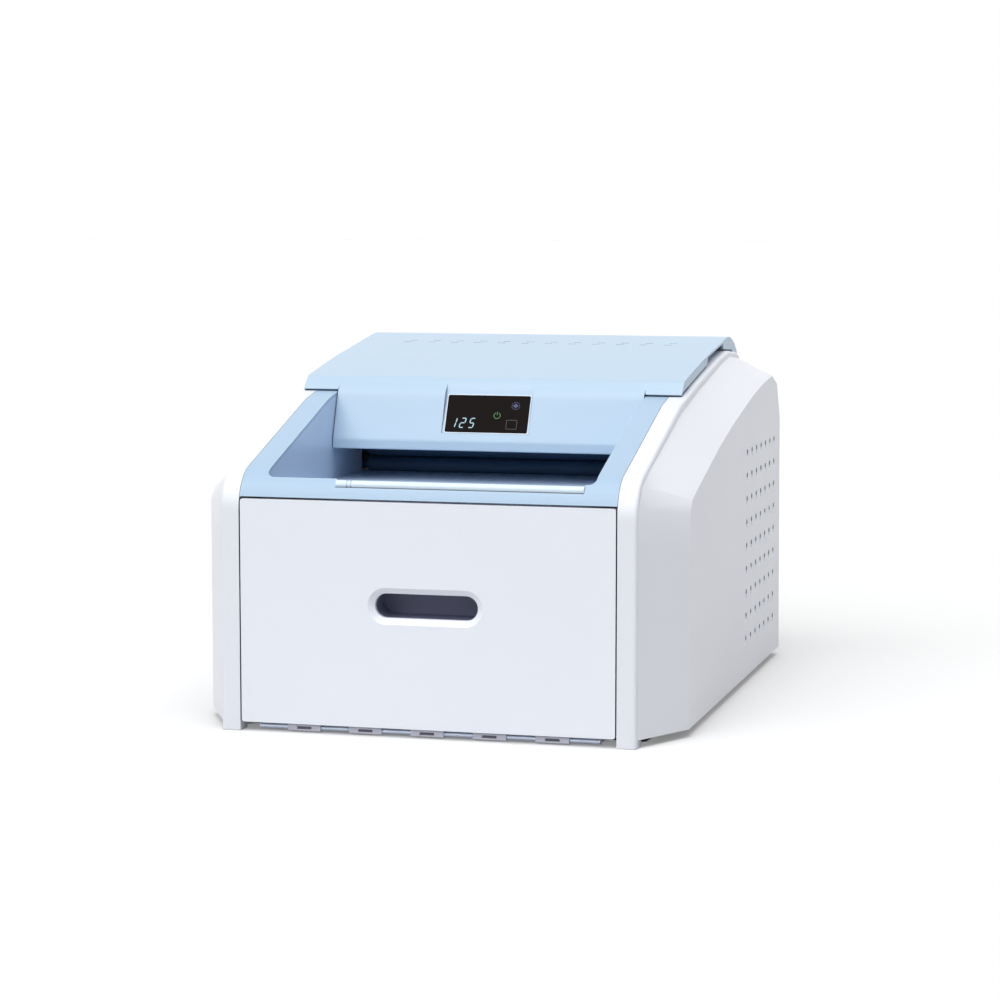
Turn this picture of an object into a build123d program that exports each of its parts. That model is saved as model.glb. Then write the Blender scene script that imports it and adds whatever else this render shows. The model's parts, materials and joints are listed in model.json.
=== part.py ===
from build123d import *
import os
from math import acos, atan2, cos, degrees, hypot, pi, radians, sin, sqrt, tan

# A dry laser imager: a tabletop printer for medical film, in millimetres.
# While it is built, x runs to the right from the middle, y runs back from the front face and
# z runs up from the table. On export every piece moves forward by half the depth, so that the
# origin lies in the middle of the footprint.

# Overall size
overall_width = 531.0
overall_depth = 659.0
lid_ridge_height = 398.5

# Sheet and moulding thicknesses
moulding = 3.0
sheet = 2.0
rail_sheet = 1.6

# Clearances
seat_gap = 0.3
slide_gap = 0.4
running_gap = 0.05
press_gap = 0.02
door_gap = 1.5

# White trim frames: the front uprights that run on as sloped bands and end in rear uprights
trim_inner_x = 205.0
trim_band = 21.0
trim_channel_depth = 22.0
trim_side_wall = 2.5
rear_plane = 650.0
shoulder_corner_height = 270.6
shoulder_front_radius = 45.0
tray_slope_end = (226.0, lid_ridge_height - 59.5)
lid_seat_point = (326.0, lid_ridge_height - 41.5)
notch_point = (460.0, lid_ridge_height - 21.0)
ridge_point = (517.0, lid_ridge_height - 15.0)
ridge_end_point = (580.0, lid_ridge_height - 20.0)
rear_corner_height = lid_ridge_height - 60.5
shoulder_edge_round = 4.0

# Side covers
cover_bottom = 9.0
cover_front_y = 5.0
cover_facet_back_y = 80.0
cover_rear_drop = 9.0
cover_step = 7.0
cover_groove_front_drop = 23.6
cover_groove_corner = (22.0, shoulder_corner_height - 0.6)
cover_groove_front_y = 60.0
cover_groove_rear_y = (576.0, 625.0)
cover_groove_rear_drop = 24.0
cover_facet_top = 237.0
cover_side_line = [
    (90.0, 250.5),
    (122.0, 260.0),
    (242.0, lid_ridge_height - 106.2),
    (326.0, lid_ridge_height - 87.5),
    (460.0, lid_ridge_height - 63.0),
    (523.0, lid_ridge_height - 54.5),
    (591.0, lid_ridge_height - 48.5),
    (627.0, lid_ridge_height - 61.0),
]
cover_side_rear_top = lid_ridge_height - 101.5

# Vent field of the side covers
vent_columns = 7
vent_rows = 9
vent_column_pitch = 31.1
vent_row_pitch = 27.2
vent_first_y = 422.0
vent_top_z = 269.7
vent_width = 8.0
vent_height = 12.0

# Base and feet
base_top = 5.0
base_half_width = 232.0
foot_radius = 12.0
foot_inset_x = 42.0
foot_inset_y = 45.0
foot_screw_radius = 2.5

# Front sill
lug_count = 5
lug_pitch = 67.8
lug_width = 36.0
lug_bottom = 1.5
lug_top = 8.5
lug_front_y = 6.0
lug_depth = 8.0
lug_slot_width = 16.0
lug_slot_height = 3.0
lug_slot_depth = 1.2
sill_rod_radius = 2.4
sill_rod_half_length = 186.0
sill_rod_hole_depth = 6.0

# Film drawer
drawer_front_bottom = 9.9
drawer_front_top = 248.8
drawer_front_depth = 18.0
drawer_front_corner = 3.0
hand_opening_width = 112.0
hand_opening_height = 26.0
hand_opening_z = 139.5
hand_flare = 6.5
hand_flare_depth = 5.0
hand_collar_wall = 10.0
hand_collar_depth = 10.0
cup_depth = 34.0
cup_wall = 2.5
pan_half_width = 186.0
pan_length = 452.0
pan_bottom = 20.0
pan_side_height = 70.0
pan_rear_height = 38.0
film_width = 355.6
film_side_gap = 0.5
guide_length = 370.0
guide_front_y = 60.0
guide_height = 46.0

# Film lift plate
lift_axis_y = 247.0
lift_axis_height = 4.0
lift_barrel_radius = 2.5
lift_plate_half_width = 168.0
lift_plate_length = 205.0
lift_plate_thickness = 1.5
lift_ear_width = 4.0

# Drawer slides
rail_bottom = 36.0
rail_height = 46.0
rail_front_y = 30.0
rail_length = 430.0

# Cross deck over the drawer bay
deck_bottom = 100.0
deck_front_y = 60.0
deck_rear_y = 462.0

# Exit tray
tray_half_width = 178.5
tray_floor_top = 247.0
tray_front_y = 21.0
tray_rear_y = 350.0
tray_wall = 2.5
bezel_bottom = 251.0
bezel_rear_y = 300.0
bezel_opening_y = 15.2
bezel_rim_drop = 14.0
bezel_corner_round = 8.0
bezel_side_gap = 0.5
stop_bar_radius = 4.5
stop_bar_left_x = -100.0
stop_bar_right_x = 168.0
stop_bar_front_y = 7.7
stop_bar_z = 265.3
stop_bar_grooves = (-88.0, -84.0)
stop_bar_groove_width = 1.4
stop_bar_groove_depth = 0.8

# Lid
lid_half_width = 219.4
lid_lip_low = (262.0, lid_ridge_height - 50.5)
lid_fold = (277.6, lid_ridge_height - 36.3)
lid_front_break = (376.0, lid_ridge_height - 20.5)
lid_mid_break = (504.0, lid_ridge_height - 4.0)
lid_rear_corner = (570.0, lid_ridge_height + 4.0)
lid_rear_edge = (606.0, lid_ridge_height - 21.0)
lid_radii = [0, 5, 300, 200, 100, 0]
lid_skirt_wall = 3.0
lid_cut_depth = 120.0
lid_front_reach = 20.0
lid_skirt_front_low = (268.0, lid_ridge_height - 48.5)
lid_skirt_notch_low = (412.0, lid_ridge_height - 25.5)
lid_notch_front_y = 416.0
lid_notch_rear_y = 515.0
lid_rear_skirt_start_z = lid_ridge_height - 13.0
lid_rear_skirt_middle = (566.0, lid_ridge_height - 16.1)
lid_rear_skirt_end = (590.0, lid_ridge_height - 23.0)
lid_slot_count = 12
lid_slot_pitch = 29.0
lid_slot_length = 9.0
lid_slot_width = 2.4
lid_slot_rows = (478.0, 488.0)
lid_open_angle = 50.0

# Control housing and display under the lid's front lip
housing_half_width = 177.5
housing_face_top = (259.0, lid_ridge_height - 51.5)
housing_face_low = (235.0, lid_ridge_height - 115.5)
housing_bevel = (238.6, lid_ridge_height - 105.5)
housing_wall = 2.5
housing_depth = 62.0
housing_floor_rise = 6.0
display_half_width = 48.0
display_low = 21.5
display_high = 67.0
display_thickness = 2.5
display_recess_depth = 1.2
display_recess_margin = 2.2
display_ledge = 4.0
display_proud = 0.4
display_board_thickness = 1.6
display_board_gap = 3.0
display_board_margin = 2.0
display_post_inset = 8.0
display_post_size = 6.0

# Lid hinge
hinge_axis_y = 596.0
hinge_axis_z = lid_ridge_height - 28.5
hinge_pin_radius = 3.0
hinge_arm_x = 188.0
hinge_arm_width = 4.5
hinge_arm_reach = 60.0
hinge_arm_depth = 8.0
hinge_arm_taper = 5.0
hinge_boss_radius = 7.5
hinge_bracket_foot = 26.0
hinge_bracket_splay = 6.0

# Heat drum and transport
drum_y = 500.0
drum_z = 285.0
drum_radius = 50.0
drum_wall = 5.0
drum_half_length = 185.0
drum_shaft_radius = 8.0
hood_gap = 2.5
hood_wall = 5.0
hood_start_angle = -15.0
hood_end_angle = 195.0
exit_roller_y = 375.0
exit_roller_z = 251.5
exit_roller_radius = 10.0
exit_pinch_radius = 8.0
film_gap = 0.6
roller_half_length = 176.0
roller_shaft_radius = 4.0
feed_roller_y = 502.7
feed_roller_z = 84.0
feed_roller_radius = 12.0
feed_pinch_radius = 8.0
pickup_y = 440.0
pickup_z = 78.0
pickup_radius = 14.0
pickup_half_length = 32.0
pickup_ear_x = 38.0
pickup_ear_width = 5.0
pickup_ear_half_depth = 9.0
bush_radius = 12.0
roller_bush_radius = 8.0
bush_length = 6.0
guide_plate_bottom = 104.0
guide_plate_top = 225.0
guide_plate_gap = 3.5
guide_plate_sheet = 1.5
beam_slot_height = 8.0

# Gears
gear_module = 1.25
gear_width = 8.0
gear_inner_x = 208.5
drum_teeth = 80
idler_teeth = 56
exit_teeth = 20
pinion_teeth = 16
gear_backlash = 0.12
pinion_direction = -60.0
idler_pin_radius = 5.0
motor_radius = 21.0
motor_cover_gap = 9.0
motor_flange_radius = 30.0
motor_flange = 3.0
motor_post_circle = 26.0
motor_post_radius = 4.0
motor_post_turns = (-70.0, 0.0, 70.0)
feed_motor_cover_gap = 19.5
feed_shaft_reach = 12.0
pinion_shaft_radius = 2.6
pinion_shaft_reach = 10.0

# Laser unit
laser_half_width = 105.0
laser_front_y = 110.0
laser_rear_y = 390.0
laser_height = 88.0
laser_wall = 4.0
beam_height = 40.0
polygon_y = 170.0
polygon_motor_radius = 25.0
polygon_motor_height = 20.0
polygon_shaft_radius = 3.0
polygon_sides = 6
polygon_radius = 30.0
polygon_thickness = 12.0
polygon_hub_radius = 10.0
polygon_shaft_rise = 4.0
lens_y = 300.0
lens_half_width = 80.0
lens_height = 20.0
lens_thickness = 16.0
lens_bow_radius = 260.0
lens_foot_setback = 3.0
diode_x = 70.0
diode_size = 26.0
diode_barrel_reach = 12.0
diode_barrel_radius = 6.0

# Electronics
board_left_x = 118.0
board_right_x = 198.0
board_front_y = 80.0
board_rear_y = 380.0
board_thickness = 1.6
board_standoff = 5.0
supply_height = 52.0
supply_rear_y = 300.0
supply_slot_count = 9
supply_slot_start = 30.0
supply_slot_pitch = 20.0
supply_slot_width = 5.0
supply_slot_half_length = 25.0
board_post_margin = 8.0
board_post_radius = 3.0
board_parts = [
    # share of the width, share of the length, then size across, size along and height
    (0.5, 0.3, 32.0, 32.0, 4.0),
    (0.35, 0.6, 18.0, 28.0, 3.0),
    (0.7, 0.62, 20.0, 14.0, 3.0),
    (0.5, 0.85, 50.0, 12.0, 12.0),
    (0.2, 0.12, 14.0, 14.0, 16.0),
]

# Rear cover, fan, inlet and port
fan_x = -120.0
fan_z = 250.0
fan_size = 92.0
fan_depth = 25.0
fan_bore_radius = 42.0
fan_hub_radius = 17.0
fan_blades = 7
fan_blade_gap = 1.5
fan_shaft_radius = 3.0
rear_slot_count = 9
rear_slot_pitch = 14.0
rear_slot_width = 5.0
rear_slot_height = 70.0
grille_hole_radius = 3.6
grille_rings = [(1, 0.0), (6, 11.0), (10, 20.5), (10, 30.0), (13, 40.0)]
rear_screw_x = 190.0
rear_screw_rows = (30.0, 180.0, lid_ridge_height - 88.5)
rear_cover_gap = 12.0
fan_screw_inset = 5.5
fan_corner_round = 5.0
fan_spoke_width = 5.0
fan_plate = 3.0
fan_blade_chord = 20.0
fan_blade_thickness = 1.8
fan_blade_tilt = 40.0
inlet_x = 150.0
inlet_z = 62.0
inlet_width = 30.0
inlet_height = 56.0
inlet_depth = 32.0
inlet_flange = 4.0
inlet_flange_thickness = 2.0
rocker_width = 22.0
rocker_height = 14.0
rocker_depth = 12.0
rocker_drop = 12.0
rocker_seat_gap = 0.8
rocker_pin_radius = 1.5
rocker_pin_reach = 1.8
rocker_pin_depth = 4.0
socket_half_width = 12.5
socket_half_height = 9.0
socket_depth = 18.0
socket_drop = 10.0
contact_places = ((-7.0, -2.0), (0.0, 2.0), (7.0, -2.0))
contact_half_width = 2.0
contact_half_height = 1.0
contact_setback = 3.0
port_x = 90.0
port_z = 62.0
port_width = 17.0
port_height = 15.0
port_depth = 21.0
port_cavity_half_width = 6.0
port_cavity_half_height = 4.0
port_cavity_depth = 14.0
port_notch = 2.0
screw_head_radius = 4.0
screw_head_height = 2.0
screw_radius = 2.0
screw_length = 6.0


# Small helpers for flat outlines, prisms and pieces along x

def corner_points(corners):
    """Tangent points and middle point of the arc at each rounded corner of a closed outline."""
    found = []
    count = len(corners)
    for index, (u, v, radius) in enumerate(corners):
        before = corners[index - 1]
        after = corners[(index + 1) % count]
        du, dv = before[0] - u, before[1] - v
        eu, ev = after[0] - u, after[1] - v
        din, dout = hypot(du, dv), hypot(eu, ev)
        du, dv, eu, ev = du / din, dv / din, eu / dout, ev / dout
        if radius == 0:
            found.append([(u, v)])
            continue
        half = acos(max(-1.0, min(1.0, du * eu + dv * ev))) / 2
        reach = radius / tan(half)
        bu, bv = du + eu, dv + ev
        length = hypot(bu, bv)
        inward = radius / sin(half) - radius
        middle = (u + bu / length * inward, v + bv / length * inward)
        found.append([(u + du * reach, v + dv * reach), middle, (u + eu * reach, v + ev * reach)])
    return found


def outline(corners, place):
    """Closed face through corners (u, v, radius), put into space by place(u, v)."""
    points = corner_points(corners)
    edges = []
    for index, group in enumerate(points):
        if len(group) == 3:
            edges.append(Edge.make_three_point_arc(*[place(*point) for point in group]))
        following = points[(index + 1) % len(points)][0]
        edges.append(Edge.make_line(place(*group[-1]), place(*following)))
    return Face(Wire(edges))


def prism_x(corners, x0, x1):
    """Prism along x over an outline given as (y, z, radius)."""
    face = outline(corners, lambda u, v: Vector(x0, u, v))
    return Part() + Solid.extrude(face, Vector(x1 - x0, 0, 0))


def prism_y(corners, y0, y1):
    """Prism along y over an outline given as (x, z, radius)."""
    face = outline(corners, lambda u, v: Vector(u, y0, v))
    return Part() + Solid.extrude(face, Vector(0, y1 - y0, 0))


def prism_z(corners, z0, z1):
    """Prism along z over an outline given as (x, y, radius)."""
    face = outline(corners, lambda u, v: Vector(u, v, z0))
    return Part() + Solid.extrude(face, Vector(0, 0, z1 - z0))


def sharp(points):
    return [(u, v, 0) for u, v in points]


def block(x0, x1, y0, y1, z0, z1):
    return Pos((x0 + x1) / 2, (y0 + y1) / 2, (z0 + z1) / 2) * Box(x1 - x0, y1 - y0, z1 - z0)


def rod_x(x0, x1, y, z, radius):
    return Pos((x0 + x1) / 2, y, z) * Rot(0, 90, 0) * Cylinder(radius, x1 - x0)


def rod_y(x, y0, y1, z, radius):
    return Pos(x, (y0 + y1) / 2, z) * Rot(90, 0, 0) * Cylinder(radius, y1 - y0)


def rod_z(x, y, z0, z1, radius):
    return Pos(x, y, (z0 + z1) / 2) * Cylinder(radius, z1 - z0)


def rounded_rect(half_width, low, high, radius, centre=0.0):
    """Corners of a rectangle in (u, v), for the prism helpers."""
    return [(centre - half_width, low, radius), (centre + half_width, low, radius),
            (centre + half_width, high, radius), (centre - half_width, high, radius)]


def joined(shapes):
    """One part from many."""
    whole = Part()
    for shape in shapes:
        whole = whole + shape
    return whole


def mirrored(shape):
    """The same piece on the left-hand side."""
    return mirror(shape, about=Plane.YZ)


def inset(points, distance):
    """Points of an open path moved to its right by a distance, with mitred corners."""
    moved = []
    last = len(points) - 1
    for index, (u, v) in enumerate(points):
        normals = []
        for start, end in ((index - 1, index), (index, index + 1)):
            if start < 0 or end > last:
                continue
            du = points[end][0] - points[start][0]
            dv = points[end][1] - points[start][1]
            length = hypot(du, dv)
            normals.append((dv / length, -du / length))
        nu = sum(normal[0] for normal in normals)
        nv = sum(normal[1] for normal in normals)
        scale = 2.0 / (nu * nu + nv * nv) if len(normals) == 2 else 1.0
        moved.append((u + nu * scale * distance, v + nv * scale * distance))
    return moved


# The shoulder line: the side view of the machine's front, sloped top and back

shoulder_path = [
    (0.0, 0.0),
    (0.0, shoulder_corner_height),
    tray_slope_end,
    lid_seat_point,
    notch_point,
    ridge_point,
    ridge_end_point,
    (rear_plane, rear_corner_height),
    (rear_plane, 0.0),
]
shoulder_radii = [0, shoulder_front_radius, 120, 0, 0, 60, 60, 24, 0]
trim_outer_x = trim_inner_x + trim_band
frame_outer_x = trim_inner_x
frame_inner_x = frame_outer_x - sheet


def shoulder_region(distance, x0, x1):
    """Everything inside the shoulder line moved in by a distance, between two x planes."""
    points = inset(shoulder_path, distance)
    corners = []
    for (u, v), radius in zip(points, shoulder_radii):
        corners.append((u, v, max(radius - distance, 0.0) if radius else 0))
    return prism_x(corners, x0, x1)


def shoulder_height(y):
    """Height of the shoulder line at a distance back from the front face."""
    for (y0, z0), (y1, z1) in zip(shoulder_path[1:], shoulder_path[2:]):
        if y0 <= y <= y1:
            return z0 + (z1 - z0) * (y - y0) / (y1 - y0)
    return 0.0


# Trim frames and side covers

def trim_frame():
    """Right front upright, sloped band and rear upright: one U-shaped moulding."""
    body = shoulder_region(0.0, trim_inner_x, trim_outer_x)
    outer_edges = body.faces().sort_by(Axis.X)[-1].edges()
    outer_edges = [edge for edge in outer_edges if edge.center().Z > 1.0]
    body = fillet(outer_edges, shoulder_edge_round)
    body = body - shoulder_region(trim_channel_depth, trim_inner_x - 1, trim_outer_x + 1)
    channel = shoulder_region(moulding, trim_inner_x + trim_side_wall, trim_outer_x - trim_side_wall)
    return body - channel


def cover_sections():
    """Side view of the cover at its groove beside the trim, and at its flat outer side."""
    def below(y, drop):
        return (y, shoulder_height(y) - drop)
    groove = [
        (cover_front_y, cover_bottom),
        (cover_front_y, shoulder_corner_height - cover_groove_front_drop),
        cover_groove_corner,
        below(cover_groove_front_y, cover_step - 1),
        below(tray_slope_end[0], cover_step + 2),
        below(lid_seat_point[0], cover_step + 2),
        below(notch_point[0], cover_step + 1),
        below(ridge_point[0], cover_step),
        below(cover_groove_rear_y[0], cover_step),
        below(cover_groove_rear_y[1], cover_step),
        (rear_plane, rear_corner_height - cover_groove_rear_drop),
        (rear_plane, cover_bottom),
    ]
    side = [
        (cover_facet_back_y, cover_bottom),
        (cover_facet_back_y, cover_facet_top),
        *cover_side_line,
        (overall_depth - cover_rear_drop, cover_side_rear_top),
        (overall_depth, cover_bottom),
    ]
    return groove, side


def loft_between(first, x0, second, x1):
    """Ruled solid between two outlines with as many corners each."""
    low = outline(sharp(first), lambda u, v: Vector(x0, u, v)).outer_wire()
    high = outline(sharp(second), lambda u, v: Vector(x1, u, v)).outer_wire()
    return Part() + Solid.make_loft([low, high], True)


def vent_field(x0, x1):
    """All vent holes of one side cover as one tool."""
    holes = []
    for column in range(vent_columns):
        for row in range(vent_rows):
            y = vent_first_y + column * vent_column_pitch
            z = vent_top_z - row * vent_row_pitch
            corners = [(y - vent_width / 2, z - vent_height / 2, vent_width / 2 - 0.1),
                       (y + vent_width / 2, z - vent_height / 2, vent_width / 2 - 0.1),
                       (y + vent_width / 2, z + vent_height / 2, vent_width / 2 - 0.1),
                       (y - vent_width / 2, z + vent_height / 2, vent_width / 2 - 0.1)]
            holes.append(prism_x(corners, x0, x1))
    return Part() + Compound(children=[hole.solid() for hole in holes])


def side_cover():
    """Right side cover: a faceted shell with its field of vents."""
    groove, side = cover_sections()
    outer_x = overall_width / 2
    shell = loft_between(groove, trim_outer_x, side, outer_x)

    def hollowed(points):
        inner = inset(points, moulding)
        inner[0] = (inner[0][0], cover_bottom - moulding)
        inner[-1] = (inner[-1][0], cover_bottom - moulding)
        return inner

    hollow = loft_between(hollowed(groove), trim_outer_x, hollowed(side), outer_x - moulding)
    shell = shell - hollow
    holes = vent_field(outer_x - 2 * moulding, outer_x + moulding)
    return shell - holes


# Base, side frames and deck

def roller_ends():
    """Places of the bores that carry rollers: y, z, bush radius, shaft radius."""
    return {
        "drum": (drum_y, drum_z, bush_radius, drum_shaft_radius),
        "exit": (exit_roller_y, exit_roller_z, roller_bush_radius, roller_shaft_radius),
        "exit_pinch": (exit_roller_y, exit_pinch_z, roller_bush_radius, roller_shaft_radius),
        "feed": (feed_roller_y, feed_roller_z, roller_bush_radius, roller_shaft_radius),
        "feed_pinch": (feed_pinch_y, feed_roller_z, roller_bush_radius, roller_shaft_radius),
    }


exit_pinch_z = exit_roller_z + exit_roller_radius + film_gap + exit_pinch_radius
feed_pinch_y = feed_roller_y + feed_roller_radius + film_gap + feed_pinch_radius


def base_plate():
    front = trim_channel_depth
    rear = rear_plane - trim_channel_depth
    plate = block(-base_half_width, base_half_width, front, rear, base_top - sheet, base_top)
    for x, y in foot_places():
        plate = plate - rod_z(x, y, 0, base_top + 1, foot_screw_radius)
    return plate


def foot_places():
    rear = rear_plane - trim_channel_depth - foot_inset_y
    front = trim_channel_depth + foot_inset_y
    reach = base_half_width - foot_inset_x
    return [(-reach, front), (reach, front), (-reach, rear), (reach, rear)]


def rubber_feet():
    feet = []
    for x, y in foot_places():
        foot = rod_z(x, y, 0, base_top - sheet, foot_radius)
        peg = rod_z(x, y, base_top - sheet, base_top, foot_screw_radius - press_gap)
        feet.append((foot + peg).solid())
    return feet


def side_frame():
    """Right side frame: a steel plate with its bores for bushes, and the idler's pin."""
    region = shoulder_region(moulding + seat_gap, frame_inner_x, frame_outer_x)
    rear = rear_plane - moulding - seat_gap
    frame = region & block(0, overall_width, trim_channel_depth, rear, base_top, lid_ridge_height)
    for y, z, outer, _ in roller_ends().values():
        frame = frame - rod_x(frame_inner_x - 1, frame_outer_x + 1, y, z, outer)
    return frame + lid_hinge_bracket()


def right_side_frame():
    idler_y, idler_z = idler_place()
    pin = rod_x(frame_outer_x - sheet, gear_inner_x + gear_width + 1, idler_y, idler_z, idler_pin_radius)
    shoulder = rod_x(frame_outer_x - sheet, gear_inner_x - slide_gap, idler_y, idler_z,
                     idler_pin_radius + 3)
    posts = []
    for y, z in motor_post_places():
        posts.append(rod_x(frame_inner_x, motor_flange_x, y, z, motor_post_radius))
    return side_frame() + pin + shoulder + joined(posts)


def roller_bushes():
    """Flanged bushes in the side frames, two for each roller and for the drum."""
    bushes = []
    for y, z, outer, shaft in roller_ends().values():
        body = rod_x(frame_outer_x - bush_length, frame_outer_x, y, z, outer - press_gap)
        flange = rod_x(frame_inner_x - bush_length + sheet, frame_inner_x, y, z, outer + 2)
        bush = body + flange - rod_x(frame_inner_x - 10, frame_outer_x + 1, y, z, shaft + running_gap)
        bushes.append(bush.solid())
        bushes.append(mirrored(bush).solid())
    return bushes


def cross_deck():
    """Steel deck over the drawer bay, with standoffs and the ears that carry the pickup roller."""
    deck = block(-frame_inner_x, frame_inner_x, deck_front_y, deck_rear_y, deck_bottom,
                 deck_bottom + sheet)
    ears = []
    for side in (-1, 1):
        x0 = side * pickup_ear_x - (pickup_ear_width if side < 0 else 0)
        ear = block(x0, x0 + pickup_ear_width, pickup_y - pickup_ear_half_depth,
                    pickup_y + pickup_ear_half_depth, pickup_z - pickup_ear_half_depth, deck_bottom)
        bore = rod_x(x0 - 1, x0 + pickup_ear_width + 1, pickup_y, pickup_z,
                     roller_shaft_radius + running_gap)
        ears.append(ear - bore)
    posts = []
    for x, y in board_posts():
        posts.append(rod_z(x, y, deck_bottom + sheet, board_bottom, board_post_radius))
    return deck + joined(ears) + joined(posts)


board_bottom = deck_bottom + sheet + board_standoff


def board_posts():
    margin = board_post_margin
    return [(x, y) for x in (board_left_x + margin, board_right_x - margin)
            for y in (board_front_y + margin, board_rear_y - margin)]


# Front sill

def lug_centres():
    start = -(lug_count - 1) / 2 * lug_pitch
    return [start + index * lug_pitch for index in range(lug_count)]


sill_rod_y = lug_front_y + lug_depth / 2
sill_rod_z = (lug_bottom + lug_top) / 2


def front_sill_rail():
    """Steel angle along the base's front edge, with its slotted lugs."""
    back = lug_front_y + lug_depth
    rail = block(-sill_rod_half_length, sill_rod_half_length, back, back + sheet, lug_bottom, lug_top)
    rail = rail + block(-sill_rod_half_length, sill_rod_half_length, back, trim_channel_depth,
                        base_top - sheet, base_top)
    for x in lug_centres():
        lug = prism_x([(lug_front_y, lug_bottom, 1.2), (back, lug_bottom, 0), (back, lug_top, 0),
                       (lug_front_y, lug_top, 1.2)], x - lug_width / 2, x + lug_width / 2)
        rail = rail + lug
        rail = rail - block(x - lug_slot_width / 2, x + lug_slot_width / 2, lug_front_y - 1,
                            lug_front_y + lug_slot_depth, sill_rod_z - lug_slot_height / 2,
                            sill_rod_z + lug_slot_height / 2)
    return rail - rod_x(-sill_rod_half_length - 1, sill_rod_half_length + 1, sill_rod_y, sill_rod_z,
                        sill_rod_radius + running_gap)


def sill_rod():
    rod = rod_x(-sill_rod_half_length, sill_rod_half_length, sill_rod_y, sill_rod_z, sill_rod_radius)
    hole_x = sill_rod_half_length - sill_rod_hole_depth
    return rod - rod_x(hole_x, sill_rod_half_length + 1, sill_rod_y, sill_rod_z, sill_rod_radius / 2)


# Film drawer

drawer_half_width = trim_inner_x - door_gap
pan_front_y = drawer_front_depth


def pill(half_width, half_height, z):
    """Corners of a rounded bar outline in (x, z)."""
    return rounded_rect(half_width, z - half_height, z + half_height, half_height - 0.05)


def drawer_front_panel():
    """White front with its flared hand opening; the edges turn back all round."""
    outer = prism_y(rounded_rect(drawer_half_width, drawer_front_bottom, drawer_front_top,
                                 drawer_front_corner), 0, drawer_front_depth)
    inner = prism_y(rounded_rect(drawer_half_width - moulding, drawer_front_bottom + moulding,
                                 drawer_front_top - moulding, 1.0), moulding, drawer_front_depth + 1)
    half_width = hand_opening_width / 2
    half_height = hand_opening_height / 2
    collar = prism_y(pill(half_width + hand_collar_wall, half_height + hand_collar_wall,
                          hand_opening_z), moulding / 2, hand_collar_depth)
    through = prism_y(pill(half_width, half_height, hand_opening_z), -1, hand_collar_depth + 1)
    wide = outline(pill(half_width + hand_flare, half_height + hand_flare, hand_opening_z),
                   lambda u, v: Vector(u, 0, v)).outer_wire()
    narrow = outline(pill(half_width, half_height, hand_opening_z),
                     lambda u, v: Vector(u, hand_flare_depth, v)).outer_wire()
    flare = Part() + Solid.make_loft([wide, narrow], True)
    return outer - inner + collar - through - flare


def handle_cup():
    """Dark cup behind the hand opening."""
    half_width = hand_opening_width / 2
    half_height = hand_opening_height / 2
    rear = hand_collar_depth + cup_depth
    outer = prism_y(pill(half_width + cup_wall, half_height + cup_wall, hand_opening_z),
                    hand_collar_depth, rear)
    inner = prism_y(pill(half_width, half_height, hand_opening_z), hand_collar_depth - 1,
                    rear - cup_wall)
    return outer - inner


def film_tray_pan():
    """Folded steel tray for the film, with the front plate that carries the panel."""
    rear = pan_front_y + pan_length
    top = pan_bottom + pan_side_height
    shell = block(-pan_half_width, pan_half_width, pan_front_y, rear, pan_bottom, top)
    shell = shell - block(-pan_half_width + sheet, pan_half_width - sheet, pan_front_y + sheet,
                          rear - sheet, pan_bottom + sheet, top + 1)
    shell = shell - block(-pan_half_width + sheet, pan_half_width - sheet, rear - sheet - 1, rear + 1,
                          pan_bottom + pan_rear_height, top + 1)
    plate_top = tray_floor_top - tray_wall - 2 * seat_gap
    plate = prism_y(rounded_rect(drawer_half_width - moulding - 2, drawer_front_bottom + moulding + 2,
                                 plate_top, 4.0), pan_front_y - 1, pan_front_y + sheet)
    rim = prism_y(rounded_rect(drawer_half_width - 0.6, drawer_front_bottom + 0.6, plate_top, 3.0),
                  pan_front_y, pan_front_y + sheet)
    cup_hole = prism_y(pill(hand_opening_width / 2 + cup_wall + slide_gap,
                            hand_opening_height / 2 + cup_wall + slide_gap, hand_opening_z),
                       pan_front_y - 3, pan_front_y + sheet + 1)
    pan = shell + plate + rim - cup_hole
    axis_z = pan_bottom + sheet + lift_axis_height
    for side in (-1, 1):
        x0 = side * (lift_plate_half_width + slide_gap) - (lift_ear_width if side < 0 else 0)
        ear = block(x0, x0 + lift_ear_width, lift_axis_y - 6, lift_axis_y + 6, pan_bottom + sheet,
                    axis_z + 5)
        pan = pan + ear
    barrel = lift_plate_half_width + slide_gap + lift_ear_width + 1
    return pan - rod_x(-barrel, barrel, lift_axis_y, axis_z, lift_barrel_radius + running_gap)


def film_side_guides():
    """Two angles that stand on the pan's floor, one along each side of the film."""
    inner = film_width / 2 + film_side_gap
    floor = pan_bottom + sheet
    wall = block(inner, inner + rail_sheet, guide_front_y, guide_front_y + guide_length, floor,
                 floor + guide_height)
    foot = block(inner, pan_half_width - sheet, guide_front_y, guide_front_y + guide_length, floor,
                 floor + rail_sheet)
    guide = wall + foot
    return [guide.solid(), mirrored(guide).solid()]


def film_lift_plate():
    """Hinged plate that lifts the film's rear end to the pickup roller."""
    axis_z = pan_bottom + sheet + lift_axis_height
    half = lift_plate_half_width
    plate = block(-half, half, lift_axis_y, lift_axis_y + lift_plate_length,
                  axis_z - lift_plate_thickness / 2, axis_z + lift_plate_thickness / 2)
    barrel = rod_x(-half, half, lift_axis_y, axis_z, lift_barrel_radius)
    reach = half + slide_gap + lift_ear_width
    pins = rod_x(-reach, reach, lift_axis_y, axis_z, lift_barrel_radius)
    return plate + barrel + pins


def channel_rail(web_x, lip_x, low, high, y0, y1):
    """C-shaped rail: a web at one x and two lips that reach to the other."""
    step = rail_sheet if lip_x > web_x else -rail_sheet
    web = block(min(web_x, web_x + step), max(web_x, web_x + step), y0, y1, low, high)
    x0, x1 = min(web_x, lip_x), max(web_x, lip_x)
    lower = block(x0, x1, y0, y1, low, low + rail_sheet)
    upper = block(x0, x1, y0, y1, high - rail_sheet, high)
    return web + lower + upper


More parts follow.
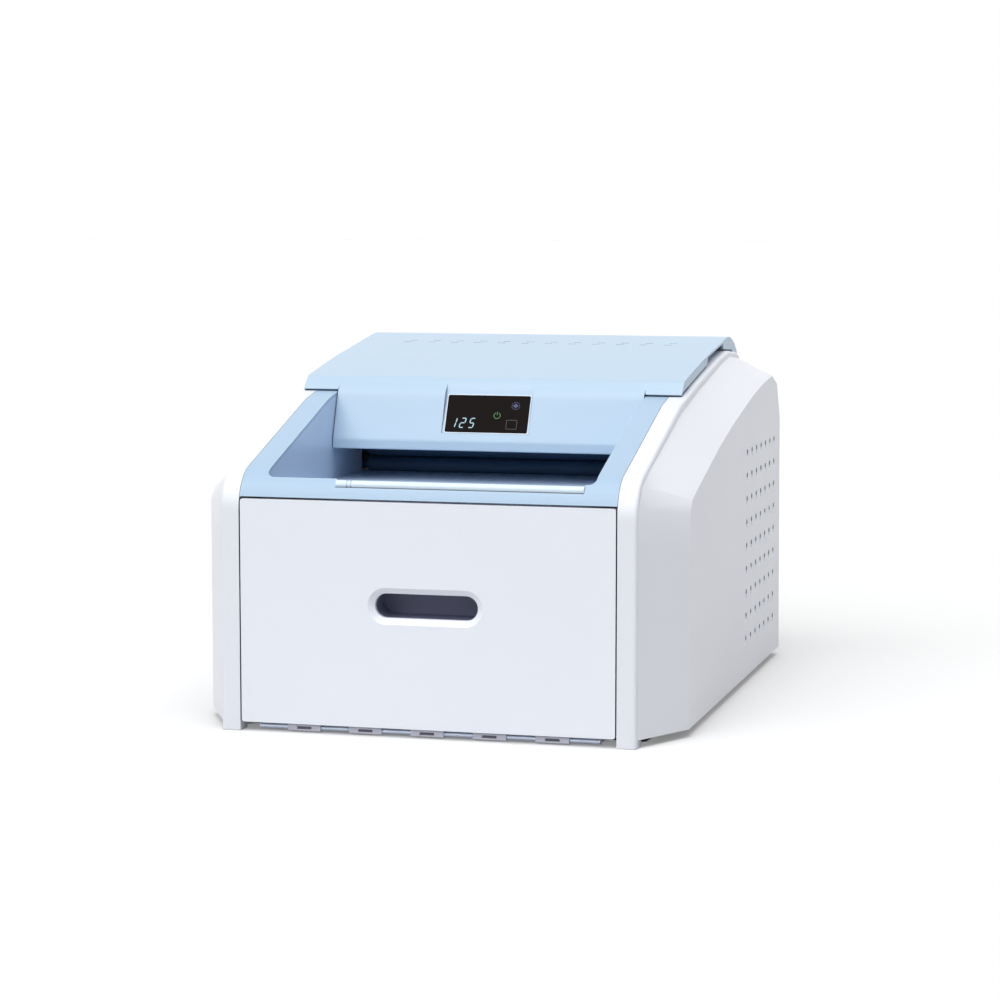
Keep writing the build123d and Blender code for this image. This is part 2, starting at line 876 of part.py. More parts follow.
def slide_rails():
    """Right outer, middle and inner rail, nested with a sliding gap."""
    step = rail_sheet + slide_gap
    low, high = rail_bottom, rail_bottom + rail_height
    y0, y1 = rail_front_y, rail_front_y + rail_length
    outer = channel_rail(frame_inner_x, pan_half_width + 2 * step, low, high, y0, y1)
    middle = channel_rail(frame_inner_x - step, pan_half_width + step, low + step, high - step,
                          y0, y1)
    inner = channel_rail(pan_half_width, frame_inner_x - 2 * step, low + 2 * step, high - 2 * step,
                         y0, y1)
    return outer, middle, inner


# Exit tray

bezel_rim_low = shoulder_height(bezel_opening_y) - bezel_rim_drop - moulding


def exit_tray_bezel():
    """Light blue frame: a rounded front lip with a bay for the stop bar, and two sloped arms."""
    half = trim_inner_x - bezel_side_gap
    inner = tray_half_width
    left, right = stop_bar_left_x, stop_bar_right_x
    front, bay = bezel_opening_y, stop_bar_front_y
    strip = shoulder_region(0.0, -half, half) - shoulder_region(moulding, -half - 1, half + 1)
    strip = strip & block(-half, half, -1, bezel_rear_y, bezel_bottom, lid_ridge_height)
    opening = [(-inner, bezel_rear_y + 1, 0), (-inner, front, bezel_corner_round), (left, front, 0),
               (left, bay, 0), (right, bay, 0), (right, front, 0),
               (inner, front, bezel_corner_round), (inner, bezel_rear_y + 1, 0)]
    strip = strip - prism_z(opening, bezel_bottom - 1, lid_ridge_height)
    rim = joined([
        block(-inner, left, front - tray_wall, front, bezel_rim_low, lid_ridge_height),
        block(left - tray_wall, left, bay - tray_wall, front, bezel_rim_low, lid_ridge_height),
        block(left - tray_wall, right + tray_wall, bay - tray_wall, bay, bezel_rim_low,
              lid_ridge_height),
        block(right, right + tray_wall, bay - tray_wall, front, bezel_rim_low, lid_ridge_height),
        block(right, inner, front - tray_wall, front, bezel_rim_low, lid_ridge_height),
    ])
    return strip + (shoulder_region(0.0, -inner, inner) & rim)


def exit_tray_pan():
    """Walls and floor of the film exit tray, with a lip forward under the bezel's rim."""
    floor_low = tray_floor_top - tray_wall
    outer = tray_half_width + tray_wall
    front = tray_front_y - tray_wall
    region = shoulder_region(moulding + seat_gap, tray_half_width, outer)
    wall = region & block(0, overall_width, front, tray_rear_y, floor_low, lid_ridge_height)
    floor = block(-outer, outer, front, tray_rear_y, floor_low, tray_floor_top)
    lip_top = bezel_rim_low - seat_gap
    front_wall = block(-outer, outer, front, tray_front_y, floor_low, lip_top)
    front_lip = block(-outer, outer, bezel_opening_y - tray_wall, tray_front_y,
                      lip_top - tray_wall, lip_top)
    return floor + wall + mirrored(wall) + front_wall + front_lip


def film_stop_bar():
    """Round bar in the bay of the tray's front lip, with two ring grooves at its left end."""
    y = stop_bar_front_y + seat_gap + stop_bar_radius
    bar = rod_x(stop_bar_left_x + press_gap, stop_bar_right_x - press_gap, y, stop_bar_z,
                stop_bar_radius)
    for x in stop_bar_grooves:
        x1 = x + stop_bar_groove_width
        ring = rod_x(x, x1, y, stop_bar_z, stop_bar_radius + 1)
        ring = ring - rod_x(x, x1, y, stop_bar_z, stop_bar_radius - stop_bar_groove_depth)
        bar = bar - ring
    return bar


# Lid with the control housing

lid_path = [
    lid_lip_low,
    lid_fold,
    lid_front_break,
    lid_mid_break,
    lid_rear_corner,
    lid_rear_edge,
]


def lid_region(distance, x0, x1):
    """Everything below the lid's top line moved in by a distance."""
    points = inset(lid_path, distance)
    corners = [(u, v, max(radius - distance, 0.5) if radius else 0)
               for (u, v), radius in zip(points, lid_radii)]
    bottom = points[0][1] - lid_cut_depth
    corners = corners + [(points[-1][0], bottom, 0), (points[0][0], bottom, 0)]
    return prism_x(corners, x0, x1)


def lid_height(y):
    """Height of the lid's top line, rounding left out."""
    for (y0, z0), (y1, z1) in zip(lid_path, lid_path[1:]):
        if y0 <= y <= y1:
            return z0 + (z1 - z0) * (y - y0) / (y1 - y0)
    return lid_ridge_height


def below_path(points, x0, x1, depth=2 * lid_cut_depth):
    """Cutting tool: everything below an open path, between two x planes."""
    low = [(points[-1][0], points[-1][1] - depth), (points[0][0], points[0][1] - depth)]
    return prism_x(sharp(list(points) + low), x0, x1)


def top_cover():
    """Light blue lid: top sheet, front lip, side skirts with hand notches, and small slots."""
    half = lid_half_width
    outer = lid_region(0.0, -half, half)
    low_front = lid_lip_low[0] - lid_front_reach
    inner_half = half - lid_skirt_wall
    shell = outer - lid_region(moulding, -inner_half, inner_half)
    notch_low = lid_height(lid_notch_front_y) - moulding
    notch_end = lid_height(lid_notch_rear_y) - moulding
    skirt_low = [
        (low_front, lid_lip_low[1]),
        (lid_lip_low[0] + moulding, lid_lip_low[1]),
        lid_skirt_front_low,
        lid_skirt_notch_low,
        (lid_notch_front_y, notch_low),
        (lid_notch_rear_y - 2, notch_end),
        (lid_notch_rear_y, lid_rear_skirt_start_z),
        lid_rear_skirt_middle,
        lid_rear_skirt_end,
        (lid_rear_edge[0] + lid_front_reach, lid_rear_skirt_end[1]),
    ]
    shell = shell - below_path(skirt_low, inner_half - 1, half + 1)
    shell = shell - below_path(skirt_low, -half - 1, -inner_half + 1)
    cut_low = lid_lip_low[1] - lid_cut_depth
    shell = shell - block(-inner_half + 1, inner_half - 1, low_front, lid_rear_edge[0] + 1,
                          cut_low, lid_lip_low[1])
    seam = housing_half_width + seat_gap
    fold_low = lid_lip_low[1] - 2 * lid_front_reach
    fold_cut = prism_x(sharp([(low_front, fold_low), (low_front, lid_fold_seam[1]), lid_fold_seam,
                              inset(lid_path, moulding + 2)[1],
                              (lid_fold[0] + 4 * moulding, fold_low)]), -seam, seam)
    shell = shell - fold_cut
    shell = shell - block(-half - 1, half + 1, lid_rear_skirt_end[0], lid_rear_edge[0] + 1,
                          cut_low, lid_rear_skirt_end[1])
    slots = []
    for row, y in enumerate(lid_slot_rows):
        for index in range(lid_slot_count):
            x = (index - (lid_slot_count - 1) / 2) * lid_slot_pitch + row * lid_slot_pitch / 6
            z = lid_height(y)
            slot = block(x - lid_slot_length / 2, x + lid_slot_length / 2, y - lid_slot_width / 2,
                         y + lid_slot_width / 2, z - 3 * moulding, z + moulding)
            slots.append(slot.solid())
    return shell - (Part() + Compound(children=slots))


lid_fold_seam = (lid_fold[0] - 0.2, lid_fold[1] + 0.2)
face_run = (housing_face_top[0] - housing_face_low[0], housing_face_top[1] - housing_face_low[1])
face_length = hypot(*face_run)
face_plane = Plane(origin=(0, housing_face_low[0], housing_face_low[1]), x_dir=(1, 0, 0),
                   z_dir=(0, -face_run[1] / face_length, face_run[0] / face_length))


def on_face(half_width, low, high, depth0, depth1):
    """Block on the housing's sloped face: low and high run up the face, depths run out of it."""
    box = Box(2 * half_width, high - low, depth1 - depth0)
    return face_plane * Pos(0, (low + high) / 2, (depth0 + depth1) / 2) * box


housing_rear_y = housing_face_low[0] + housing_depth


def housing_outline(distance):
    """Side view of the housing's underside and face, moved in by a distance."""
    return inset([
        (housing_rear_y, housing_face_low[1] + housing_floor_rise),
        (housing_face_low[0] + housing_floor_rise, housing_face_low[1] - 1),
        housing_face_low,
        housing_bevel,
        housing_face_top,
        lid_fold_seam,
    ], distance)


def control_housing():
    """Blue housing that hangs from the lid over the exit slot and carries the display."""
    half = housing_half_width
    underside = inset(lid_path, moulding + 0.05)
    outer = prism_x(sharp(housing_outline(0.0) + [underside[1], (housing_rear_y, lid_fold_seam[1])]),
                    -half, half)
    hollow = housing_outline(housing_wall)
    hollow[0] = (housing_rear_y + 1, hollow[0][1])
    above = hollow[-1][1] + housing_depth / 2
    inner = prism_x(sharp(hollow + [(housing_rear_y + 1, above), (hollow[-1][0], above)]),
                    -half + housing_wall, half - housing_wall)
    body = outer & lid_region(moulding + 0.05, -half - 1, half + 1)
    front_part = outer & block(-half, half, 0, lid_fold_seam[0] - 0.1, 0, lid_fold_seam[1])
    body = body + front_part - inner
    margin = display_recess_margin
    outside = 4 * moulding
    recess = on_face(display_half_width + margin, display_low - margin, face_length - 1,
                     -display_recess_depth, outside)
    cut = on_face(display_half_width + press_gap, display_low - press_gap, display_high + press_gap,
                  -3 * housing_wall, outside)
    ledge = on_face(display_half_width + display_ledge, display_low - display_ledge,
                    display_high + display_ledge, -housing_wall - display_recess_depth,
                    -housing_wall + 0.2)
    return body + ledge - recess - cut


def display_window():
    """Dark glossy window, let into the housing's recess."""
    return on_face(display_half_width, display_low, display_high,
                   -display_recess_depth - display_thickness + display_proud,
                   -display_recess_depth + display_proud)


def display_board():
    """Circuit board behind the window, on two posts that reach the window's back."""
    back = -display_recess_depth - display_thickness + display_proud
    margin = display_board_margin
    board = on_face(display_half_width - margin, display_low + margin, display_high - margin,
                    back - display_board_gap - display_board_thickness, back - display_board_gap)
    middle = (display_low + display_high) / 2
    posts = []
    reach = display_half_width - display_post_inset
    for x in (-reach, reach):
        post = Box(display_post_size, display_post_size, display_board_gap)
        posts.append(face_plane * Pos(x, middle, back - display_board_gap / 2) * post)
    return board + joined(posts)


# Lid hinge

def lid_hinge_arms():
    """Arms under the lid that turn on the hinge pins."""
    arms = []
    x0, x1 = hinge_arm_x, hinge_arm_x + hinge_arm_width
    front = hinge_axis_y - hinge_arm_reach
    web = prism_x(sharp([(front, lid_ridge_height), (front, hinge_axis_z + hinge_arm_depth),
                         (hinge_axis_y - hinge_arm_taper, hinge_axis_z - hinge_arm_taper),
                         (hinge_axis_y + hinge_arm_taper, hinge_axis_z),
                         (hinge_axis_y + hinge_arm_taper, lid_ridge_height)]), x0, x1)
    web = web & lid_region(moulding + 0.02, x0 - 1, x1 + 1)
    boss = rod_x(x0, x1, hinge_axis_y, hinge_axis_z, hinge_boss_radius)
    arm = web + boss - rod_x(x0 - 1, x1 + 1, hinge_axis_y, hinge_axis_z, hinge_pin_radius + running_gap)
    arms.append(arm.solid())
    arms.append(mirrored(arm).solid())
    return arms


def lid_hinge_bracket():
    """Tab on the right side frame that holds the hinge pin."""
    x0 = hinge_arm_x + hinge_arm_width + slide_gap
    x1 = frame_inner_x
    foot_z = hinge_axis_z - hinge_bracket_foot
    foot_reach = hinge_boss_radius + hinge_bracket_splay
    foot = prism_x(sharp([(hinge_axis_y - hinge_boss_radius, hinge_axis_z),
                          (hinge_axis_y - foot_reach, foot_z), (hinge_axis_y + foot_reach, foot_z),
                          (hinge_axis_y + hinge_boss_radius, hinge_axis_z)]), x0, x1)
    boss = rod_x(x0, x1, hinge_axis_y, hinge_axis_z, hinge_boss_radius)
    return foot + boss - rod_x(x0 - 1, x1 + 1, hinge_axis_y, hinge_axis_z,
                               hinge_pin_radius + press_gap)


def lid_hinge_pins():
    """Two pins, each with a small head on its inner end."""
    pin = rod_x(hinge_arm_x - slide_gap, frame_inner_x, hinge_axis_y, hinge_axis_z, hinge_pin_radius)
    head = rod_x(hinge_arm_x - slide_gap - 2, hinge_arm_x - slide_gap, hinge_axis_y, hinge_axis_z,
                 hinge_pin_radius + 2)
    whole = pin + head
    return [whole.solid(), mirrored(whole).solid()]


# Gears: involute teeth, worked out for each wheel

def gear_radius(teeth):
    return gear_module * teeth / 2


def spur_gear(teeth, y, z, first_tooth, bore):
    """Spur gear on the x axis through (y, z), with one tooth centred at an angle in degrees."""
    pitch = gear_radius(teeth)
    pressure = radians(20)
    base = pitch * cos(pressure)
    tip = pitch + gear_module
    root = pitch - 1.25 * gear_module
    half_pitch_angle = pi / (2 * teeth) - gear_backlash / (2 * pitch)

    def involute(angle):
        return tan(angle) - angle

    def half_angle(radius):
        if radius <= base:
            return half_pitch_angle + involute(pressure)
        return half_pitch_angle + involute(pressure) - involute(acos(base / radius))

    start = max(base, root + 0.05)
    flank = [start + (tip - start) * step / 3 for step in range(4)]
    corners = []
    for index in range(teeth):
        centre = radians(first_tooth) + 2 * pi * index / teeth
        ring = [(root, -half_angle(start))]
        ring += [(radius, -half_angle(radius)) for radius in flank]
        ring += [(radius, half_angle(radius)) for radius in reversed(flank)]
        ring += [(root, half_angle(start))]
        for radius, turn in ring:
            angle = centre + turn
            corners.append((y + radius * cos(angle), z + radius * sin(angle)))
    wheel = prism_x(sharp(corners), gear_inner_x, gear_inner_x + gear_width)
    return wheel - rod_x(gear_inner_x - 1, gear_inner_x + gear_width + 1, y, z, bore)


def meshed_tooth(teeth_a, place_a, tooth_a, teeth_b, place_b):
    """Angle of a tooth of gear b that lets it mesh with gear a at rest."""
    direction = degrees(atan2(place_b[1] - place_a[1], place_b[0] - place_a[0]))
    share = ((direction - tooth_a) * teeth_a / 360.0) % 1.0
    return direction + 180.0 + (share + 0.5) * 360.0 / teeth_b


def idler_place():
    """Centre of the idler gear, in mesh with the drum gear and the exit gear."""
    near = gear_radius(drum_teeth) + gear_radius(idler_teeth)
    far = gear_radius(idler_teeth) + gear_radius(exit_teeth)
    dy, dz = exit_roller_y - drum_y, exit_roller_z - drum_z
    span = hypot(dy, dz)
    along = (near ** 2 - far ** 2 + span ** 2) / (2 * span)
    aside = sqrt(near ** 2 - along ** 2)
    ey, ez = dy / span, dz / span
    return drum_y + along * ey - aside * ez, drum_z + along * ez + aside * ey


def pinion_place():
    reach = gear_radius(drum_teeth) + gear_radius(pinion_teeth)
    angle = radians(pinion_direction)
    return drum_y + reach * cos(angle), drum_z + reach * sin(angle)


motor_flange_x = gear_inner_x + gear_width + 1.0
motor_end_x = overall_width / 2 - moulding - motor_cover_gap


def motor_post_places():
    y, z = pinion_place()
    places = []
    for turn in motor_post_turns:
        angle = radians(pinion_direction + turn)
        places.append((y + motor_post_circle * cos(angle), z + motor_post_circle * sin(angle)))
    return places


def drum_gear():
    return spur_gear(drum_teeth, drum_y, drum_z, 0.0, drum_shaft_radius)


def idler_gear():
    tooth = meshed_tooth(drum_teeth, (drum_y, drum_z), 0.0, idler_teeth, idler_place())
    return spur_gear(idler_teeth, *idler_place(), tooth, idler_pin_radius + running_gap)


def exit_gear():
    idler_tooth = meshed_tooth(drum_teeth, (drum_y, drum_z), 0.0, idler_teeth, idler_place())
    exit_place = (exit_roller_y, exit_roller_z)
    tooth = meshed_tooth(idler_teeth, idler_place(), idler_tooth, exit_teeth, exit_place)
    return spur_gear(exit_teeth, *exit_place, tooth, roller_shaft_radius)


def motor_pinion():
    """Pinion with its shaft, which ends inside the motor."""
    tooth = meshed_tooth(drum_teeth, (drum_y, drum_z), 0.0, pinion_teeth, pinion_place())
    wheel = spur_gear(pinion_teeth, *pinion_place(), tooth, pinion_shaft_radius - 0.1)
    y, z = pinion_place()
    return wheel + rod_x(gear_inner_x - slide_gap, motor_flange_x + pinion_shaft_reach, y, z,
                         pinion_shaft_radius)


def drive_motor():
    """Stepper motor that stands on three posts outside the right side frame."""
    y, z = pinion_place()
    flange = rod_x(motor_flange_x, motor_flange_x + motor_flange, y, z, motor_flange_radius)
    can = rod_x(motor_flange_x, motor_end_x, y, z, motor_radius)
    bore = rod_x(motor_flange_x - 1, motor_flange_x + pinion_shaft_reach + 2, y, z,
                 pinion_shaft_radius + running_gap)
    return flange + can - bore


# Drum and rollers

laser_floor = deck_bottom + sheet
beam_z = laser_floor + beam_height


def heat_drum():
    """Hollow drum with end discs on one shaft, which carries the drum gear at its right end."""
    half = drum_half_length
    tube = rod_x(-half, half, drum_y, drum_z, drum_radius)
    tube = tube - rod_x(-half + drum_wall, half - drum_wall, drum_y, drum_z, drum_radius - drum_wall)
    shaft = rod_x(-frame_outer_x - 1, gear_inner_x + gear_width, drum_y, drum_z, drum_shaft_radius)
    return tube + shaft


def drum_hood():
    """Heat shield and film guide round the upper side of the drum."""
    inner = drum_radius + hood_gap
    outer = inner + hood_wall
    ring = rod_x(-frame_inner_x, frame_inner_x, drum_y, drum_z, outer)
    ring = ring - rod_x(-frame_inner_x - 1, frame_inner_x + 1, drum_y, drum_z, inner)
    reach = 2 * outer
    start, end = radians(hood_start_angle), radians(hood_end_angle)
    low = prism_x(sharp([(drum_y, drum_z),
                         (drum_y + reach * cos(end), drum_z + reach * sin(end)),
                         (drum_y + reach * cos(end), drum_z - reach),
                         (drum_y + reach * cos(start), drum_z - reach),
                         (drum_y + reach * cos(start), drum_z + reach * sin(start))]),
                  -frame_inner_x - 1, frame_inner_x + 1)
    return ring - low


def roller(y, z, radius, right_end):
    """Roller with its shaft; the shaft runs in the bushes of both side frames."""
    sleeve = rod_x(-roller_half_length, roller_half_length, y, z, radius)
    return sleeve + rod_x(-frame_outer_x - 1, right_end, y, z, roller_shaft_radius)


def feed_roller():
    sleeve = rod_x(-roller_half_length, roller_half_length, feed_roller_y, feed_roller_z,
                   feed_roller_radius)
    shaft = rod_x(-frame_outer_x - feed_shaft_reach, frame_outer_x + 1, feed_roller_y,
                  feed_roller_z, roller_shaft_radius)
    return sleeve + shaft


def feed_motor():
    """Stepper motor on the left side frame, straight on the feed roller's shaft."""
    x1 = -frame_outer_x
    x0 = -overall_width / 2 + moulding + feed_motor_cover_gap
    can = rod_x(x0, x1, feed_roller_y, feed_roller_z, motor_radius)
    can = can - rod_x(x1 - feed_shaft_reach - 1, x1 + 1, feed_roller_y, feed_roller_z,
                      roller_shaft_radius + running_gap)
    return can - rod_x(x1 - 2, x1 + 1, feed_pinch_y, feed_roller_z, roller_shaft_radius + 1)


def pickup_roller():
    sleeve = rod_x(-pickup_half_length, pickup_half_length, pickup_y, pickup_z, pickup_radius)
    reach = pickup_ear_x + pickup_ear_width + 2
    return sleeve + rod_x(-reach, reach, pickup_y, pickup_z, roller_shaft_radius)


def film_guide_plates():
    """Two upright sheets between which the film climbs; the front one has the beam's slot."""
    film_y = feed_roller_y + feed_roller_radius + film_gap / 2
    plates = []
    for side in (-1, 1):
        inner = film_y + side * guide_plate_gap / 2
        y0, y1 = sorted((inner, inner + side * guide_plate_sheet))
        plate = block(-frame_inner_x, frame_inner_x, y0, y1, guide_plate_bottom, guide_plate_top)
        if side < 0:
            plate = plate - block(-roller_half_length, roller_half_length, y0 - 1, y1 + 1,
                                  beam_z - beam_slot_height / 2, beam_z + beam_slot_height / 2)
        plates.append(plate.solid())
    return plates


# Laser unit

def laser_housing():
    """Cast box for the optics, with a beam window in its rear wall."""
    half = laser_half_width
    body = block(-half, half, laser_front_y, laser_rear_y, laser_floor, laser_floor + laser_height)
    body = body - block(-half + laser_wall, half - laser_wall, laser_front_y + laser_wall,
                        laser_rear_y - laser_wall, laser_floor + laser_wall,
                        laser_floor + laser_height + 1)
    window = block(-lens_half_width, lens_half_width, laser_rear_y - 2 * laser_wall,
                   laser_rear_y + 1, beam_z - lens_height / 2, beam_z + lens_height / 2)
    return body - window


def polygon_motor():
    low = laser_floor + laser_wall
    can = rod_z(0, polygon_y, low, low + polygon_motor_height, polygon_motor_radius)
    return can + rod_z(0, polygon_y, low, beam_z + polygon_thickness / 2 + polygon_shaft_rise,
                       polygon_shaft_radius)


def polygon_mirror():
    """Faceted mirror on the motor's shaft."""
    corners = []
    for index in range(polygon_sides):
        angle = 2 * pi * index / polygon_sides
        corners.append((polygon_radius * cos(angle), polygon_y + polygon_radius * sin(angle)))
    wheel = prism_z(sharp(corners), beam_z - polygon_thickness / 2, beam_z + polygon_thickness / 2)
    low = laser_floor + laser_wall + polygon_motor_height + slide_gap
    hub = rod_z(0, polygon_y, low, beam_z, polygon_hub_radius)
    return wheel + hub - rod_z(0, polygon_y, low - 1, beam_z + polygon_thickness,
                               polygon_shaft_radius + running_gap)


def scan_lens():
    """Bowed lens on a foot, between the polygon mirror and the beam window."""
    half = lens_half_width
    z0, z1 = beam_z - lens_height / 2, beam_z + lens_height / 2
    bow = rod_z(0, lens_y - lens_bow_radius + lens_thickness, z0, z1, lens_bow_radius)
    glass = bow & block(-half, half, lens_y - lens_thickness, lens_y + lens_thickness, z0, z1)
    foot = block(-half, half, lens_y - lens_thickness + lens_foot_setback, lens_y - lens_foot_setback,
                 laser_floor + laser_wall, z0)
    return glass + foot


def laser_diode():
    """Laser module with its barrel, aimed at the polygon mirror."""
    low = laser_floor + laser_wall
    top = beam_z + diode_size / 2
    y = polygon_y
    block_part = block(diode_x - diode_size / 2, diode_x + diode_size / 2, y - diode_size / 2,
                       y + diode_size / 2, low, top)
    barrel = rod_x(diode_x - diode_size / 2 - diode_barrel_reach, diode_x, y, beam_z,
                   diode_barrel_radius)
    return block_part + barrel


# Electronics

def main_board():
    """Control board with its larger parts."""
    z1 = board_bottom + board_thickness
    board = block(board_left_x, board_right_x, board_front_y, board_rear_y, board_bottom, z1)
    width = board_right_x - board_left_x
    length = board_rear_y - board_front_y
    for share_x, share_y, size_x, size_y, height in board_parts:
        x = board_left_x + share_x * width
        y = board_front_y + share_y * length
        board = board + block(x - size_x / 2, x + size_x / 2, y - size_y / 2, y + size_y / 2,
                              z1, z1 + height)
    return board


def power_supply():
    """Power supply in a folded steel case, with vent slots in its top."""
    z0 = deck_bottom + sheet
    case = block(-board_right_x, -board_left_x, board_front_y, supply_rear_y, z0, z0 + supply_height)
    case = case - block(-board_right_x + sheet, -board_left_x - sheet, board_front_y + sheet,
                        supply_rear_y - sheet, z0 + sheet, z0 + supply_height - sheet)
    middle = -(board_left_x + board_right_x) / 2
    for index in range(supply_slot_count):
        y = board_front_y + supply_slot_start + index * supply_slot_pitch
        case = case - block(middle - supply_slot_half_length, middle + supply_slot_half_length, y,
                            y + supply_slot_width, z0 + supply_height - 2 * sheet,
                            z0 + supply_height + 1)
    return case


# Rear cover and what it carries

def rear_slot_places():
    middle = -fan_x
    start = middle - (rear_slot_count - 1) / 2 * rear_slot_pitch
    return [start + index * rear_slot_pitch for index in range(rear_slot_count)]


def fan_screw_places():
    reach = fan_size / 2 - fan_screw_inset
    return [(fan_x + sx * reach, fan_z + sz * reach) for sx in (-1, 1) for sz in (-1, 1)]


def rear_screw_places():
    return [(x, z) for x in (-rear_screw_x, rear_screw_x) for z in rear_screw_rows]


def rear_cover():
    """Rear cover: a plate that turns forward over the top, with vents and cut-outs."""
    half = trim_inner_x - bezel_side_gap
    strip = shoulder_region(0.0, -half, half) - shoulder_region(moulding, -half - 1, half + 1)
    front = lid_rear_edge[0] + rear_cover_gap
    strip = strip & block(-half, half, front, rear_plane + 1, cover_bottom + 2, lid_ridge_height)
    through = (rear_plane - 2 * moulding, rear_plane + 1)
    grille = []
    for count, ring_radius in grille_rings:
        for index in range(count):
            angle = 2 * pi * index / count
            grille.append(rod_y(fan_x + ring_radius * cos(angle), *through,
                                fan_z + ring_radius * sin(angle), grille_hole_radius).solid())
    for x in rear_slot_places():
        slot = prism_y(rounded_rect(rear_slot_width / 2, fan_z - rear_slot_height / 2,
                                    fan_z + rear_slot_height / 2, rear_slot_width / 2 - 0.1, x),
                       *through)
        grille.append(slot.solid())
    for x, z in rear_screw_places() + fan_screw_places():
        grille.append(rod_y(x, *through, z, screw_radius + press_gap).solid())
    cover = strip - (Part() + Compound(children=grille))
    cover = cover - prism_y(rounded_rect(inlet_width / 2 + press_gap, inlet_z - inlet_height / 2,
                                         inlet_z + inlet_height / 2, 2.0, inlet_x), *through)
    return cover - prism_y(rounded_rect(port_width / 2 + press_gap, port_z - port_height / 2,
                                        port_z + port_height / 2, 1.0, port_x), *through)


def rear_cover_screws():
    screws = []
    for x, z in rear_screw_places() + fan_screw_places():
        head = rod_y(x, rear_plane, rear_plane + screw_head_height, z, screw_head_radius)
        shank = rod_y(x, rear_plane - screw_length, rear_plane, z, screw_radius)
        screws.append((head + shank).solid())
    return screws


fan_front_y = rear_plane - moulding - fan_depth


def fan_frame():
    """Square fan frame with its hub plate and four spokes."""
    half = fan_size / 2
    y1 = rear_plane - moulding
    frame = prism_y(rounded_rect(half, fan_z - half, fan_z + half, fan_corner_round, fan_x),
                    fan_front_y, y1)
    frame = frame - rod_y(fan_x, fan_front_y - 1, y1 + 1, fan_z, fan_bore_radius)
    plate_y = fan_front_y + fan_plate
    reach = fan_bore_radius + 1
    width = fan_spoke_width / 2
    hub = rod_y(fan_x, fan_front_y, plate_y, fan_z, fan_hub_radius)
    spokes = block(fan_x - reach, fan_x + reach, fan_front_y, plate_y, fan_z - width, fan_z + width)
    spokes = spokes + block(fan_x - width, fan_x + width, fan_front_y, plate_y, fan_z - reach,
                            fan_z + reach)
    pin = rod_y(fan_x, fan_front_y, y1 - 2 * fan_plate, fan_z, fan_shaft_radius)
    frame = frame + hub + spokes + pin
    for x, z in fan_screw_places():
        frame = frame - rod_y(x, fan_front_y - 1, y1 + 1, z, screw_radius + press_gap)
    return frame


def fan_rotor():
    """Fan hub with tilted blades, on the frame's pin."""
    y0 = fan_front_y + fan_plate + slide_gap
    y1 = rear_plane - moulding - 2
    hub = rod_y(fan_x, y0, y1, fan_z, fan_hub_radius)
    blade_length = fan_bore_radius - fan_blade_gap - fan_hub_radius + 2
    rotor = hub
    for index in range(fan_blades):
        blade = Box(blade_length, fan_blade_chord, fan_blade_thickness)
        blade = Pos(fan_hub_radius - 2 + blade_length / 2, 0, 0) * Rot(fan_blade_tilt, 0, 0) * blade
        blade = Rot(0, 360.0 * index / fan_blades, 0) * blade
        rotor = rotor + Pos(fan_x, (y0 + y1) / 2, fan_z) * blade
    keep = rod_y(fan_x, y0, y1, fan_z, fan_bore_radius - fan_blade_gap)
    bore = rod_y(fan_x, y0 - 1, rear_plane - moulding - 5, fan_z, fan_shaft_radius + running_gap)
    return (rotor & keep) - bore


rocker_z = inlet_z + inlet_height / 2 - rocker_drop
rocker_pin_y = rear_plane - rocker_pin_depth


def power_inlet():
    """Mains inlet in one module with the rocker switch's seat above it."""
    half = inlet_width / 2
    low, high = inlet_z - inlet_height / 2, inlet_z + inlet_height / 2
    body = prism_y(rounded_rect(half, low, high, 2.0, inlet_x), rear_plane - inlet_depth, rear_plane)
    flange = prism_y(rounded_rect(half + inlet_flange, low - inlet_flange, high + inlet_flange, 3.0,
                                  inlet_x), rear_plane, rear_plane + inlet_flange_thickness)
    module = body + flange
    socket_z = inlet_z - socket_drop
    socket = prism_y(rounded_rect(socket_half_width, socket_z - socket_half_height,
                                  socket_z + socket_half_height, 3.0, inlet_x),
                     rear_plane - socket_depth, rear_plane + 5)
    module = module - socket
    for dx, dz in contact_places:
        module = module + block(inlet_x + dx - contact_half_width, inlet_x + dx + contact_half_width,
                                rear_plane - socket_depth - 2, rear_plane - contact_setback,
                                socket_z + dz - contact_half_height,
                                socket_z + dz + contact_half_height)
    seat_half = rocker_height / 2 + rocker_seat_gap
    seat = block(inlet_x - rocker_width / 2 - slide_gap, inlet_x + rocker_width / 2 + slide_gap,
                 rear_plane - rocker_depth - 4, rear_plane + 5, rocker_z - seat_half,
                 rocker_z + seat_half)
    module = module - seat
    return module - rod_x(inlet_x - half + 1.5, inlet_x + half - 1.5, rocker_pin_y, rocker_z,
                          rocker_pin_radius + running_gap)


def power_rocker():
    """Rocker key: two shallow slopes that meet over its pivot."""
    half = rocker_height / 2
    front = rear_plane + inlet_flange_thickness
    key = prism_x(sharp([(rear_plane - 6, rocker_z - half + 2), (front - 1.5, rocker_z - half),
                         (front + 0.5, rocker_z - half + 0.6), (front, rocker_z),
                         (front + 0.5, rocker_z + half - 0.6), (front - 1.5, rocker_z + half),
                         (rear_plane - 6, rocker_z + half - 2)]),
                  inlet_x - rocker_width / 2, inlet_x + rocker_width / 2)
    reach = rocker_width / 2 + rocker_pin_reach
    return key + rod_x(inlet_x - reach, inlet_x + reach, rocker_pin_y, rocker_z, rocker_pin_radius)


